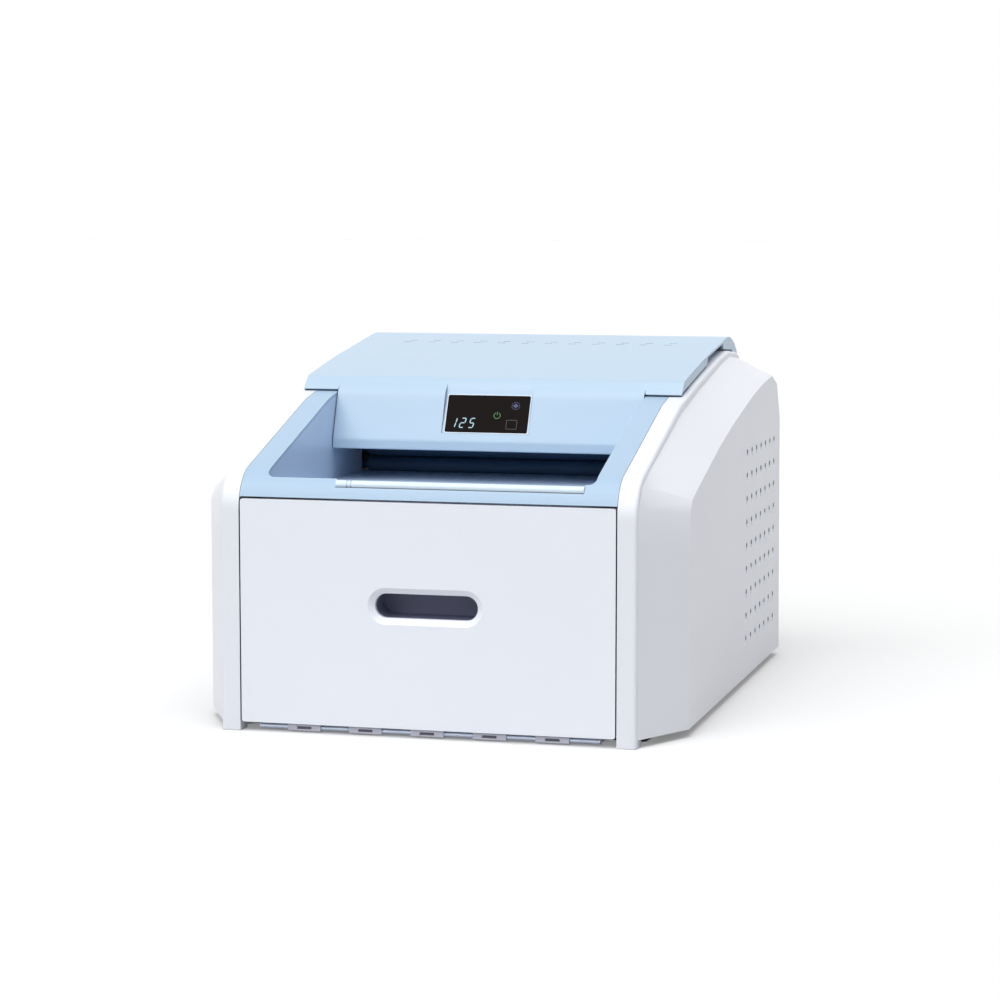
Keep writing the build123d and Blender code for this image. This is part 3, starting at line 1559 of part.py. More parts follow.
def network_port():
    """Shielded network socket."""
    shell = prism_y(rounded_rect(port_width / 2, port_z - port_height / 2, port_z + port_height / 2,
                                 1.0, port_x), rear_plane - port_depth, rear_plane + 1)
    deep = rear_plane - port_cavity_depth
    width, height = port_cavity_half_width, port_cavity_half_height
    cavity = block(port_x - width, port_x + width, deep, rear_plane + 2, port_z - height,
                   port_z + height)
    notch = block(port_x - port_notch, port_x + port_notch, deep, rear_plane + 2,
                  port_z - height - port_notch, port_z - height + 0.1)
    return shell - cavity - notch


# Write every piece to its own file

def export(name, shape):
    solids = shape if isinstance(shape, list) else shape.solids()
    moved = [Pos(0, -overall_depth / 2, 0) * solid for solid in solids]
    whole = Compound(children=moved) if len(moved) > 1 else moved[0]
    whole.label = name
    export_step(whole, f"parts/{name}.step")


def all_pieces():
    outer_rail, middle_rail, inner_rail = slide_rails()
    right_trim = trim_frame()
    right_cover = side_cover()
    return {
        "base_plate": base_plate(),
        "rubber_feet": rubber_feet(),
        "left_side_frame": mirrored(side_frame()),
        "right_side_frame": right_side_frame(),
        "roller_bushes": roller_bushes(),
        "cross_deck": cross_deck(),
        "front_sill_rail": front_sill_rail(),
        "sill_rod": sill_rod(),
        "left_trim_frame": mirrored(right_trim),
        "right_trim_frame": right_trim,
        "left_side_cover": mirrored(right_cover),
        "right_side_cover": right_cover,
        "rear_cover": rear_cover(),
        "rear_cover_screws": rear_cover_screws(),
        "exit_tray_bezel": exit_tray_bezel(),
        "exit_tray_pan": exit_tray_pan(),
        "film_stop_bar": film_stop_bar(),
        "left_outer_rail": mirrored(outer_rail),
        "right_outer_rail": outer_rail,
        "left_middle_rail": mirrored(middle_rail),
        "right_middle_rail": middle_rail,
        "left_inner_rail": mirrored(inner_rail),
        "right_inner_rail": inner_rail,
        "drawer_front_panel": drawer_front_panel(),
        "handle_cup": handle_cup(),
        "film_tray_pan": film_tray_pan(),
        "film_side_guides": film_side_guides(),
        "film_lift_plate": film_lift_plate(),
        "top_cover": top_cover(),
        "control_housing": control_housing(),
        "display_window": display_window(),
        "display_board": display_board(),
        "lid_hinge_arms": lid_hinge_arms(),
        "lid_hinge_pins": lid_hinge_pins(),
        "heat_drum": heat_drum(),
        "drum_hood": drum_hood(),
        "drum_gear": drum_gear(),
        "idler_gear": idler_gear(),
        "exit_roller": roller(exit_roller_y, exit_roller_z, exit_roller_radius,
                              gear_inner_x + gear_width),
        "exit_gear": exit_gear(),
        "exit_pinch_roller": roller(exit_roller_y, exit_pinch_z, exit_pinch_radius,
                                    frame_outer_x + 1),
        "drive_motor": drive_motor(),
        "motor_pinion": motor_pinion(),
        "feed_roller": feed_roller(),
        "feed_pinch_roller": roller(feed_pinch_y, feed_roller_z, feed_pinch_radius,
                                    frame_outer_x + 1),
        "feed_motor": feed_motor(),
        "pickup_roller": pickup_roller(),
        "film_guide_plates": film_guide_plates(),
        "laser_housing": laser_housing(),
        "polygon_motor": polygon_motor(),
        "polygon_mirror": polygon_mirror(),
        "scan_lens": scan_lens(),
        "laser_diode": laser_diode(),
        "main_board": main_board(),
        "power_supply": power_supply(),
        "fan_frame": fan_frame(),
        "fan_rotor": fan_rotor(),
        "power_inlet": power_inlet(),
        "power_rocker": power_rocker(),
        "network_port": network_port(),
    }


os.makedirs("parts", exist_ok=True)
for piece_name, piece_shape in all_pieces().items():
    export(piece_name, piece_shape)
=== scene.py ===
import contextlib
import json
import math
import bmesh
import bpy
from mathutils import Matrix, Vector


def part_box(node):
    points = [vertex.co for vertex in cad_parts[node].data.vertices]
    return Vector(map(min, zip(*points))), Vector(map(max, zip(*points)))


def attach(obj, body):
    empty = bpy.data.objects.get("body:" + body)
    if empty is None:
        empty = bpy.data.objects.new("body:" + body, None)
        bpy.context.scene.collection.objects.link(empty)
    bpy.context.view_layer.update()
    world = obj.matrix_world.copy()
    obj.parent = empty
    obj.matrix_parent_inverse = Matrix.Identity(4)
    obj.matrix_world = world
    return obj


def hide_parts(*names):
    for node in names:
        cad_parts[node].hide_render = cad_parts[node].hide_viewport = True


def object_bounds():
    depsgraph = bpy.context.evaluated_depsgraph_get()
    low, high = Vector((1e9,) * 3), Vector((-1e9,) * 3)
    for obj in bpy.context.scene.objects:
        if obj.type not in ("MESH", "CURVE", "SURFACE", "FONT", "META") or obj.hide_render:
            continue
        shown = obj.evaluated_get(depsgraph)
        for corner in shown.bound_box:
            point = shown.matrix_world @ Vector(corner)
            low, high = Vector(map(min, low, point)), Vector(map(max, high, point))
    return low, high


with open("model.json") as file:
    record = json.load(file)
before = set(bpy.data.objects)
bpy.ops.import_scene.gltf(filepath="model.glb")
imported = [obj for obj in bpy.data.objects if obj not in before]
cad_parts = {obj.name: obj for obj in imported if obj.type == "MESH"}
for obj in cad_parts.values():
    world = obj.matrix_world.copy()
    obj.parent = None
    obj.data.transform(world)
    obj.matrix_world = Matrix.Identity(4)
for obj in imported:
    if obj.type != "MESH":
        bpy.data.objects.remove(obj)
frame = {"nodes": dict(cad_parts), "record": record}
cad_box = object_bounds()

# %% [markdown]
# # A dry laser imager, dressed
# The frame above is the machine as it is built: every bracket, roller and shell at its real size,
# in metres, with the front facing -Y. This notebook gives it its looks. Each step first says what
# the thing is on the real machine, then how it could be made, and why one way was chosen.
# Sizes are written in millimetres times `mm`, because a maker thinks in millimetres.

mm = 0.001
half_depth = (cad_box[1][1] - cad_box[0][1]) / 2
scene = bpy.context.scene
print("machine is", [round(high - low, 4) for low, high in zip(*cad_box)], "m")

# %% [markdown]
# ## The camera comes first
# The photo was taken from the right and slightly above, with a long lens from about three metres.
# The camera could be placed by eye, but its place was measured from the machine's own edges, so the
# numbers here are real distances. A long lens keeps upright edges nearly parallel.

# %% Camera
camera_place = Vector((838.1, -2871.4, 571.1)) * mm - Vector((0, half_depth, 0))
camera_turn = math.radians(14.77)
camera_drop = math.radians(6.08)
focal_in_frames = 2.8942
sensor_width = 36.0

camera_data = bpy.data.cameras.new("camera")
camera_data.sensor_width = sensor_width
camera_data.lens = focal_in_frames * sensor_width
camera_data.clip_end = 100.0
camera = bpy.data.objects.new("camera", camera_data)
camera.location = camera_place
camera.rotation_euler = (math.pi / 2 - camera_drop, 0.0, camera_turn)
scene.collection.objects.link(camera)
scene.camera = camera
print("lens", round(camera_data.lens, 1), "mm")

# %% [markdown]
# ## A plain white studio
# The machine stands on a white table in white light. A bright floor could be made with strong lamps,
# but that would burn out the white plastic too. So the floor glows a little for the camera only:
# it stays white where it is lit, and the machine's shadow still shows on it. It is also painted a
# little darker for the light it throws back than for the camera. The world is white for
# the camera and for reflections, and a calmer grey for the light that falls on the machine. Two very
# soft suns stand in for large cloth screens: one in front and to the left, one overhead. Unlike small
# lamps they light near and far floor alike, so no horizon shows. Together they leave the right side
# in shade and its slope bright, which is what shows the crease between the two.

# %% Node helpers
def add_node(tree, kind, inputs=None, **settings):
    """One node: its settings, and its inputs as plain values or as other nodes' outputs."""
    node = tree.nodes.new(kind)
    for key, value in settings.items():
        setattr(node, key, value)
    for key, value in (inputs or {}).items():
        if isinstance(value, bpy.types.NodeSocket):
            tree.links.new(value, node.inputs[key])
        else:
            node.inputs[key].default_value = value
    return node


def maths(tree, operation, *terms):
    """Output of a Math node over values or other outputs."""
    return add_node(tree, "ShaderNodeMath", dict(enumerate(terms)), operation=operation).outputs[0]


def mixed_colour(tree, share, first, second):
    """Output of a colour mix: the first colour where the share is 0, the second where it is 1."""
    # a Mix node takes its colours at inputs 6 and 7 and gives the mixed one at output 2
    return add_node(tree, "ShaderNodeMix", {0: share, 6: first, 7: second},
                    data_type="RGBA").outputs[2]


def seen_rays(tree):
    """A value that is 1 for camera, mirror and see-through rays, and 0 for plain lighting."""
    rays = add_node(tree, "ShaderNodeLightPath").outputs
    seen_or_mirrored = maths(tree, "MAXIMUM", rays["Is Camera Ray"], rays["Is Glossy Ray"])
    return maths(tree, "MAXIMUM", seen_or_mirrored, rays["Is Transmission Ray"])


# %% World
world_light = 0.44
world_tint = (0.965, 0.985, 1.0, 1.0)
plain_white = (1, 1, 1, 1)
world = bpy.data.worlds.new("studio")
scene.world = world
world.use_nodes = True
tree = world.node_tree
tree.nodes.clear()
lit = add_node(tree, "ShaderNodeBackground", {"Color": world_tint, "Strength": world_light})
shown = add_node(tree, "ShaderNodeBackground", {"Color": plain_white, "Strength": 1.0})
mix = add_node(tree, "ShaderNodeMixShader",
               {0: seen_rays(tree), 1: lit.outputs[0], 2: shown.outputs[0]})
add_node(tree, "ShaderNodeOutputWorld", {"Surface": mix.outputs[0]})
scene.view_settings.view_transform = "Standard"
print("world light", world_light)

# %% Soft suns
screen_tint = (1.0, 0.995, 0.985)


def soft_sun(name, direction, energy, spread):
    """Sun with a large disc: an even light from one side of the room."""
    data = bpy.data.lights.new(name, "SUN")
    data.energy = energy
    data.angle = math.radians(spread)
    data.color = screen_tint
    lamp = bpy.data.objects.new(name, data)
    lamp.rotation_euler = Vector(direction).to_track_quat("Z", "Y").to_euler()
    scene.collection.objects.link(lamp)
    print(name, "energy", energy)


soft_sun("front_screen", direction=(-0.30, -0.66, 0.69), energy=1.60, spread=50)
soft_sun("overhead_screen", direction=(0.15, -0.15, 0.977), energy=1.42, spread=45)

# %% Floor
floor_glow = 0.2
floor_lit = (0.54, 0.54, 0.545, 1)
floor_seen = (0.67, 0.67, 0.675, 1)
floor_half = 30.0
floor_mesh = bpy.data.meshes.new("floor")
floor_mesh.from_pydata([(-floor_half, -floor_half, 0), (floor_half, -floor_half, 0),
                        (floor_half, floor_half, 0), (-floor_half, floor_half, 0)],
                       [], [(0, 1, 2, 3)])
floor = bpy.data.objects.new("floor", floor_mesh)
scene.collection.objects.link(floor)
floor_paint = bpy.data.materials.new("floor_paint")
floor_paint.use_nodes = True
tree = floor_paint.node_tree
tree.nodes.clear()
matt = add_node(tree, "ShaderNodeBsdfDiffuse",
                {"Color": mixed_colour(tree, seen_rays(tree), floor_lit, floor_seen)})
glow = add_node(tree, "ShaderNodeEmission",
                {"Strength": maths(tree, "MULTIPLY", seen_rays(tree), floor_glow)})
both = add_node(tree, "ShaderNodeAddShader", {0: matt.outputs[0], 1: glow.outputs[0]})
add_node(tree, "ShaderNodeOutputMaterial", {"Surface": both.outputs[0]})
floor_mesh.materials.append(floor_paint)
print("floor", 2 * floor_half, "m wide")

# %% [markdown]
# ## Shared effects
# Nearly every shell here is injection-moulded plastic with a fine spark-eroded grain. It could be a
# picture, but noise in the object's own coordinates never shows a seam. Five small groups are built
# once and placed in each finish with its own values. `moulded_grain` gives a height for the bump and
# a slow change of roughness. `tone_drift` shifts a colour slightly over the whole surface, as
# pigment and soft dust do. `edge_wear` finds the outer edges by comparing the true surface
# direction with a rounded one and paints a highlight on them, in broken patches. `gap_shade` paints
# shade into narrow gaps, where light doesn't reach. `vent_throat` paints shade on the upper walls
# inside the vent holes.

# %% Group builder
plain_grey = (0.8, 0.8, 0.8, 1)
plain_black = (0, 0, 0, 1)


def socket_kind(default):
    """Socket type that suits a default: a count, a number, a place of three or a colour of four."""
    if isinstance(default, tuple):
        return "NodeSocketVector" if len(default) == 3 else "NodeSocketColor"
    return "NodeSocketInt" if isinstance(default, int) else "NodeSocketFloat"


def add_sockets(made, in_out, sockets):
    """Named sockets on a group's or tree's face: each gives its default, or else its type."""
    for label, default in sockets.items():
        kind = default if isinstance(default, str) else socket_kind(default)
        socket = made.interface.new_socket(name=label, in_out=in_out, socket_type=kind)
        if kind != default:
            socket.default_value = default


def new_group(name, inputs, outputs):
    """Empty shader group with named inputs and outputs."""
    group = bpy.data.node_groups.new(name, "ShaderNodeTree")
    add_sockets(group, "INPUT", inputs)
    add_sockets(group, "OUTPUT", outputs)
    print("group", name, "with inputs", list(inputs))
    return group, add_node(group, "NodeGroupInput").outputs


def own_place(tree):
    """Place in the piece's own coordinates."""
    return add_node(tree, "ShaderNodeTexCoord").outputs["Object"]


# %% Moulding grain
grain_group, given = new_group(
    "moulded_grain", {"Scale": 900.0, "Base Roughness": 0.42, "Roughness Change": 0.08},
    {"Height": 0.0, "Roughness": 0.0})
place = own_place(grain_group)
fine = add_node(grain_group, "ShaderNodeTexNoise",
                {"Vector": place, "Scale": given["Scale"], "Detail": 3.0, "Roughness": 0.6})
slow = add_node(grain_group, "ShaderNodeTexNoise", {"Vector": place, "Scale": 7.0, "Detail": 2.0})
centred = maths(grain_group, "SUBTRACT", slow.outputs["Fac"], 0.5)
change = maths(grain_group, "MULTIPLY_ADD", centred, given["Roughness Change"],
               given["Base Roughness"])
add_node(grain_group, "NodeGroupOutput", {"Height": fine.outputs["Fac"], "Roughness": change})

# %% Tone drift
tone_group, given = new_group(
    "tone_drift", {"Color": plain_grey, "Amount": 0.04, "Scale": 3.0}, {"Color": plain_grey})
cloud = add_node(tone_group, "ShaderNodeTexNoise",
                 {"Vector": own_place(tone_group), "Scale": given["Scale"], "Detail": 4.0})
shade = maths(tone_group, "MULTIPLY", cloud.outputs["Fac"], given["Amount"])
tint = add_node(tone_group, "ShaderNodeHueSaturation",
                {"Color": given["Color"], "Value": maths(tone_group, "SUBTRACT", 1.0, shade)})
add_node(tone_group, "NodeGroupOutput", {"Color": tint.outputs["Color"]})

# %% Painted edge highlights
# Painted highlight: a lighter colour on the outer edges, broken up by noise.
edge_light_group, given = new_group(
    "edge_wear", {"Color": plain_grey, "Edge Color": plain_white, "Amount": 0.5, "Width": 1.2 * mm},
    {"Color": plain_grey, "Mask": 0.0})
rounded = add_node(edge_light_group, "ShaderNodeBevel", {"Radius": given["Width"]}, samples=4)
surface = add_node(edge_light_group, "ShaderNodeNewGeometry")
compare = add_node(edge_light_group, "ShaderNodeVectorMath",
                   {0: rounded.outputs["Normal"], 1: surface.outputs["Normal"]},
                   operation="DOT_PRODUCT")
flat_alike, edge_alike = 0.995, 0.8
sharpness = add_node(edge_light_group, "ShaderNodeMapRange",
                     {"Value": compare.outputs["Value"], "From Min": flat_alike,
                      "From Max": edge_alike})
patches = add_node(edge_light_group, "ShaderNodeTexNoise",
                   {"Vector": own_place(edge_light_group), "Scale": 60.0})
broken = maths(edge_light_group, "MULTIPLY", sharpness.outputs["Result"], patches.outputs["Fac"])
mask = maths(edge_light_group, "MULTIPLY", broken, given["Amount"])
painted = mixed_colour(edge_light_group, mask, given["Color"], given["Edge Color"])
add_node(edge_light_group, "NodeGroupOutput", {"Color": painted, "Mask": mask})

# %% Shade in gaps
# Painted shade: narrow gaps, found by occlusion, are darkened toward the gap colour.
gap_group, given = new_group(
    "gap_shade", {"Color": plain_grey, "Gap Color": plain_black, "Width": 3.5 * mm, "Amount": 1.0},
    {"Color": plain_grey})
open_share, closed_share = 0.66, 0.38
nearby = add_node(gap_group, "ShaderNodeAmbientOcclusion", {"Distance": given["Width"]}, samples=8)
closed = add_node(gap_group, "ShaderNodeMapRange",
                  {"Value": nearby.outputs["AO"], "From Min": open_share, "From Max": closed_share})
share = maths(gap_group, "MULTIPLY", closed.outputs["Result"], given["Amount"])
painted = mixed_colour(gap_group, share, given["Color"], given["Gap Color"])
add_node(gap_group, "NodeGroupOutput", {"Color": painted})

# %% Painted shade in the vent throats
def parts_of(tree, vector):
    """X, Y and Z outputs of a vector."""
    return add_node(tree, "ShaderNodeSeparateXYZ", {0: vector}).outputs


# Painted shade: the upper half of each vent hole's inner walls is darkened, where its top edge shades
# it.
throat_group, given = new_group(
    "vent_throat", {"Color": plain_grey, "Throat Color": plain_black, "Low": (0, 0, 0),
                    "High": (0, 0, 0), "Row Pitch": 27.2 * mm, "Row Start": 0.0},
    {"Color": plain_grey})
outward_limit = 0.6
upper_share = 0.5
surface = add_node(throat_group, "ShaderNodeNewGeometry")
facing = parts_of(throat_group, surface.outputs["True Normal"])
inward = maths(throat_group, "LESS_THAN", maths(throat_group, "ABSOLUTE", facing["X"]),
               outward_limit)
place = parts_of(throat_group, own_place(throat_group))
above = maths(throat_group, "SUBTRACT", place["Z"], given["Row Start"])
in_rows = maths(throat_group, "DIVIDE", above, given["Row Pitch"])
upper_part = maths(throat_group, "LESS_THAN", maths(throat_group, "FRACT", in_rows), upper_share)
mask = maths(throat_group, "MULTIPLY", inward, upper_part)
for operation, bound in (("GREATER_THAN", given["Low"]), ("LESS_THAN", given["High"])):
    limits = parts_of(throat_group, bound)
    for axis in ("Y", "Z"):
        mask = maths(throat_group, "MULTIPLY", mask,
                     maths(throat_group, operation, place[axis], limits[axis]))
painted = mixed_colour(throat_group, mask, given["Color"], given["Throat Color"])
add_node(throat_group, "NodeGroupOutput", {"Color": painted})

# %% [markdown]
# ## Finishes
# One function makes a whole family of finishes: it places the groups that a finish needs in a new
# material, each with its own values, and feeds a Principled BSDF. Numbers that are the same all
# over, such as a metal's Metallic, sit on the shader itself, so that they survive an export.

# %% Finish maker
grain_depth = 0.06 * mm


def colour(red, green, blue):
    """Screen colour (0 to 255) as the linear colour a shader needs."""
    parts = []
    for part in (red, green, blue):
        part = part / 255.0
        parts.append(part / 12.92 if part <= 0.04045 else ((part + 0.055) / 1.055) ** 2.4)
    return (*parts, 1.0)


def use_group(tree, group, **values):
    """Outputs of a shared group in a material; an underscore stands for a space in a name."""
    inputs = {key.replace("_", " "): value for key, value in values.items()}
    return add_node(tree, "ShaderNodeGroup", inputs, node_tree=group).outputs


def finish(name, base, roughness=0.42, rough_change=0.08, grain=900.0, bump=0.12, tone=0.04,
           tone_scale=3.0, edge=None, edge_amount=0.5, gap=None, throat=None, metallic=0.0,
           **shader_values):
    """Procedural finish: grain, tone, painted edge highlights and painted shade in gaps and vent
    throats over a Principled BSDF.
    """
    material = bpy.data.materials.new(name)
    material.use_nodes = True
    tree = material.node_tree
    shader = tree.nodes["Principled BSDF"]
    painted = use_group(tree, tone_group, Color=base, Amount=tone, Scale=tone_scale)["Color"]
    if edge is not None:
        painted = use_group(tree, edge_light_group, Color=painted, Edge_Color=edge,
                            Amount=edge_amount)["Color"]
    if throat is not None:
        throat_colour, low, high, row_start = throat
        painted = use_group(tree, throat_group, Color=painted, Throat_Color=throat_colour,
                            Low=low, High=high, Row_Start=row_start)["Color"]
    if gap is not None:
        painted = use_group(tree, gap_group, Color=painted, Gap_Color=gap)["Color"]
    grained = use_group(tree, grain_group, Scale=grain, Base_Roughness=roughness,
                        Roughness_Change=rough_change)
    relief = add_node(tree, "ShaderNodeBump",
                      {"Strength": bump, "Distance": grain_depth, "Height": grained["Height"]})
    tree.links.new(painted, shader.inputs["Base Color"])
    tree.links.new(grained["Roughness"], shader.inputs["Roughness"])
    tree.links.new(relief.outputs["Normal"], shader.inputs["Normal"])
    shader.inputs["Metallic"].default_value = metallic
    for key, value in shader_values.items():
        shader.inputs[key.replace("_", " ")].default_value = value
    return material


print("screen grey 128 is", round(colour(128, 128, 128)[0], 3), "in linear light")

# %% White plastics
# gap_shade_navy is the colour of the painted shade in narrow gaps.
gap_shade_navy = colour(30, 34, 56)
vent_low = (-0.3, 0.075, 0.035)
vent_high = (0.3, 0.30, 0.285)
vent_row_start = 269.9 * mm
# vent_throat_shade holds the colour and the place of the painted shade in the vent holes.
vent_throat_shade = (colour(138, 140, 152), vent_low, vent_high, vent_row_start)
# The edge colours of these finishes are painted highlights on the outer edges.
shell_white = finish("shell_white", colour(230, 233, 241), roughness=0.38, gap=gap_shade_navy,
                     edge=colour(244, 246, 250))
cover_white = finish("cover_white", colour(235, 237, 244), roughness=0.42, throat=vent_throat_shade)
door_white = finish("door_white", colour(234, 238, 247), roughness=0.36, gap=gap_shade_navy,
                    edge=colour(247, 249, 252))
rear_white = finish("rear_white", colour(230, 232, 236), roughness=0.5, grain=600.0, bump=0.25,
                    edge=colour(244, 245, 248))
gear_white = finish("gear_white", colour(228, 224, 212), roughness=0.4, bump=0.05)
sill_grey = finish("sill_grey", colour(206, 207, 221), roughness=0.42, edge=colour(226, 227, 236))
print("white plastics with", [group.name for group in bpy.data.node_groups])

# %% Coloured plastics and rubber
# The edge colours of the lid and frame are painted highlights on the outer edges.
lid_blue = finish("lid_blue", colour(175, 198, 218), roughness=0.36, tone=0.03, gap=gap_shade_navy,
                  edge=colour(196, 214, 230), edge_amount=0.6)
frame_blue = finish("frame_blue", colour(164, 190, 214), roughness=0.36, tone=0.03, gap=gap_shade_navy,
                    edge=colour(192, 212, 230), edge_amount=0.6)
tray_blue = finish("tray_blue", colour(188, 208, 234), roughness=0.3, tone=0.05)
bar_blue = finish("bar_blue", colour(216, 232, 246), roughness=0.16, rough_change=0.04, bump=0.02,
                  gap=gap_shade_navy)
cup_violet = finish("cup_violet", colour(108, 110, 138), roughness=0.5, bump=0.2)
rubber_black = finish("rubber_black", colour(24, 34, 54), roughness=0.75, bump=0.3, grain=1400.0)
rubber_navy = finish("rubber_navy", colour(72, 104, 142), roughness=0.6, bump=0.2, grain=1400.0)
plastic_black = finish("plastic_black", colour(30, 30, 32), roughness=0.45, bump=0.2)
slot_shade = finish("slot_shade", colour(92, 88, 104), roughness=0.5)
print("lid and frame blue", [round(part, 3) for part in colour(175, 198, 218)[:3]])

# %% Metals, glass and boards
zinc_sheet = finish("zinc_sheet", colour(186, 189, 192), roughness=0.36, rough_change=0.2, grain=260.0,
                    bump=0.05, tone=0.12, tone_scale=40.0, metallic=1.0)
navy_enamel = finish("navy_enamel", colour(50, 54, 74), roughness=0.45, grain=500.0, bump=0.15,
                     tone=0.1)
bright_steel = finish("bright_steel", colour(206, 210, 218), roughness=0.18, rough_change=0.1,
                      bump=0.02, metallic=1.0)
rod_steel = finish("rod_steel", colour(196, 206, 224), roughness=0.22, rough_change=0.08,
                   bump=0.02, metallic=0.6)
bare_aluminium = finish("bare_aluminium", colour(200, 202, 206), roughness=0.3, rough_change=0.15,
                        grain=500.0, bump=0.06, metallic=1.0)
bronze = finish("bronze", colour(176, 138, 88), roughness=0.4, metallic=1.0, bump=0.1)
motor_black = finish("motor_black", colour(34, 34, 36), roughness=0.42, metallic=0.3)
smoked_glass = finish("smoked_glass", colour(26, 21, 20), roughness=0.3, rough_change=0.03, bump=0.0,
                      tone=0.15, tone_scale=14.0, Specular_IOR_Level=0.02)
board_green = finish("board_green", colour(34, 96, 56), roughness=0.4, grain=300.0, bump=0.1,
                     tone=0.2, tone_scale=60.0)
lens_glass = finish("lens_glass", colour(214, 232, 240), roughness=0.03, rough_change=0.0, bump=0.0,
                    Transmission_Weight=0.9, IOR=1.5)
print(len(bpy.data.materials), "materials so far")

# %% Which finish goes where
finish_of_slot = {
    "white_shell": shell_white, "door_white": door_white, "light_blue": frame_blue,
    "tray_blue": tray_blue, "stop_bar_blue": bar_blue, "rear_white": rear_white,
    "cup_dark": cup_violet, "display_glass": smoked_glass, "steel_sheet": zinc_sheet,
    "sill_plastic": sill_grey, "bright_steel": bright_steel, "aluminium": bare_aluminium,
    "rubber": rubber_black, "gear_plastic": gear_white, "bronze": bronze,
    "motor_black": motor_black, "black_plastic": plastic_black, "board_green": board_green,
    "lens_glass": lens_glass,
}
finish_of_node = {"film_tray_pan": navy_enamel, "sill_rod": rod_steel,
                  "exit_roller": rubber_navy, "exit_pinch_roller": rubber_navy,
                  "left_side_cover": cover_white, "right_side_cover": cover_white}
slot_of_node = {part["node"]: part["material_slot"] for part in frame["record"]["subparts"]}
body_of_node = {node: body for body, nodes in frame["record"]["behaviour"]["bodies"].items()
                for node in nodes}
for name, node in frame["nodes"].items():
    node.data.materials.clear()
    node.data.materials.append(finish_of_node.get(name, finish_of_slot[slot_of_node[name]]))
print(len(frame["nodes"]), "construction pieces painted")

# %% [markdown]
# ## From construction solid to finished piece
# The construction solids have exact faces but knife-sharp edges. A real moulding or folded sheet
# always has a small radius that catches the light. So a copy of each solid is merged into one
# surface, its flat triangles are joined, and a narrow Bevel rounds its long edges. Rounding every
# edge would be simpler, but the bevel is as narrow as the smallest hole allows, so the edges of
# small holes are left out. The copy then stands for the solid.

# %% Clean copy of a solid
merge_distance = 0.002 * mm
flat_limit = math.radians(0.6)


@contextlib.contextmanager
def editing(mesh):
    """A mesh open for editing, written back at the end."""
    work = bmesh.new()
    work.from_mesh(mesh)
    yield work
    work.to_mesh(mesh)
    work.free()


def cleaned_copy(node_name):
    """Merged copy of a construction mesh with its flat triangles joined."""
    mesh = frame["nodes"][node_name].data.copy()
    with editing(mesh) as work:
        bmesh.ops.remove_doubles(work, verts=work.verts, dist=merge_distance)
        bmesh.ops.dissolve_limit(work, angle_limit=flat_limit, verts=work.verts, edges=work.edges)
    return mesh


door_mesh = cleaned_copy("drawer_front_panel")
print("door:", len(frame["nodes"]["drawer_front_panel"].data.polygons), "triangles joined to",
      len(door_mesh.polygons), "faces")
bpy.data.meshes.remove(door_mesh)

# %% Hand-over of a piece
def new_piece(name, mesh):
    """Object at the origin that shows a mesh."""
    piece = bpy.data.objects.new(name, mesh)
    scene.collection.objects.link(piece)
    return piece


def settle(piece, node_names, material):
    """Material and body of a finished piece; hides the construction solids it takes the place of."""
    piece.data.materials.clear()
    piece.data.materials.append(material)
    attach(piece, body_of_node[node_names[0]])
    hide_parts(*node_names)
    print(piece.name, len(piece.data.polygons), "faces")


def add_on(piece, carrier, material):
    """Material and body of a detail that sits on a construction piece."""
    piece.data.materials.clear()
    piece.data.materials.append(material)
    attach(piece, body_of_node[carrier])
    print(piece.name, len(piece.data.polygons), "faces, carried by", carrier)


# %% Smooth shading
smooth_limit = math.radians(32.0)


def finished_mesh(piece):
    """Turns a piece's modifiers into plain mesh."""
    graph = bpy.context.evaluated_depsgraph_get()
    mesh = bpy.data.meshes.new_from_object(piece.evaluated_get(graph))
    piece.modifiers.clear()
    piece.data = mesh


def smooth_by_angle(mesh):
    """Smooth shading, with sharp edges where faces meet at more than the limit."""
    with editing(mesh) as work:
        for face in work.faces:
            face.smooth = True
        for edge in work.edges:
            if len(edge.link_faces) == 2:
                edge.smooth = edge.calc_face_angle(0.0) < smooth_limit


def flatten_wide_faces(piece):
    """Lets large faces rule the shading, so that a flat panel beside a round looks flat."""
    weighted = piece.modifiers.new("weighted", "WEIGHTED_NORMAL")
    weighted.mode = "FACE_AREA"
    weighted.weight = 60
    weighted.keep_sharp = True
    finished_mesh(piece)


print("edges are smooth below", round(math.degrees(smooth_limit)), "degrees")

# %% Rounded edges
def mark_long_edges(mesh, least_angle, least_length):
    """Bevel weight on the edges that are sharp and long enough."""
    with editing(mesh) as work:
        weight = work.edges.layers.float.new("bevel_weight_edge")
        for edge in work.edges:
            if (len(edge.link_faces) == 2 and edge.calc_length() >= least_length
                    and edge.calc_face_angle(0.0) > math.radians(least_angle)):
                edge[weight] = 1.0


def round_edges(piece, width, segments=2, least_angle=32.0, least_length=0.0):
    """Bevels a piece's edges for good and smooths its faces."""
    bevel = piece.modifiers.new("edge_round", "BEVEL")
    bevel.width = width
    bevel.segments = segments
    bevel.use_clamp_overlap = True
    if least_length > 0.0:
        mark_long_edges(piece.data, least_angle, least_length)
        bevel.limit_method = "WEIGHT"
    else:
        bevel.limit_method = "ANGLE"
        bevel.angle_limit = math.radians(least_angle)
    finished_mesh(piece)
    smooth_by_angle(piece.data)
    flatten_wide_faces(piece)


def bevelled(node_name, width, segments, least_angle, least_length):
    """Finished copy of one construction solid."""
    piece = new_piece(node_name + "_finished", cleaned_copy(node_name))
    round_edges(piece, width, segments, least_angle, least_length)
    slot = slot_of_node[node_name]
    settle(piece, [node_name], finish_of_node.get(node_name, finish_of_slot[slot]))
    return piece


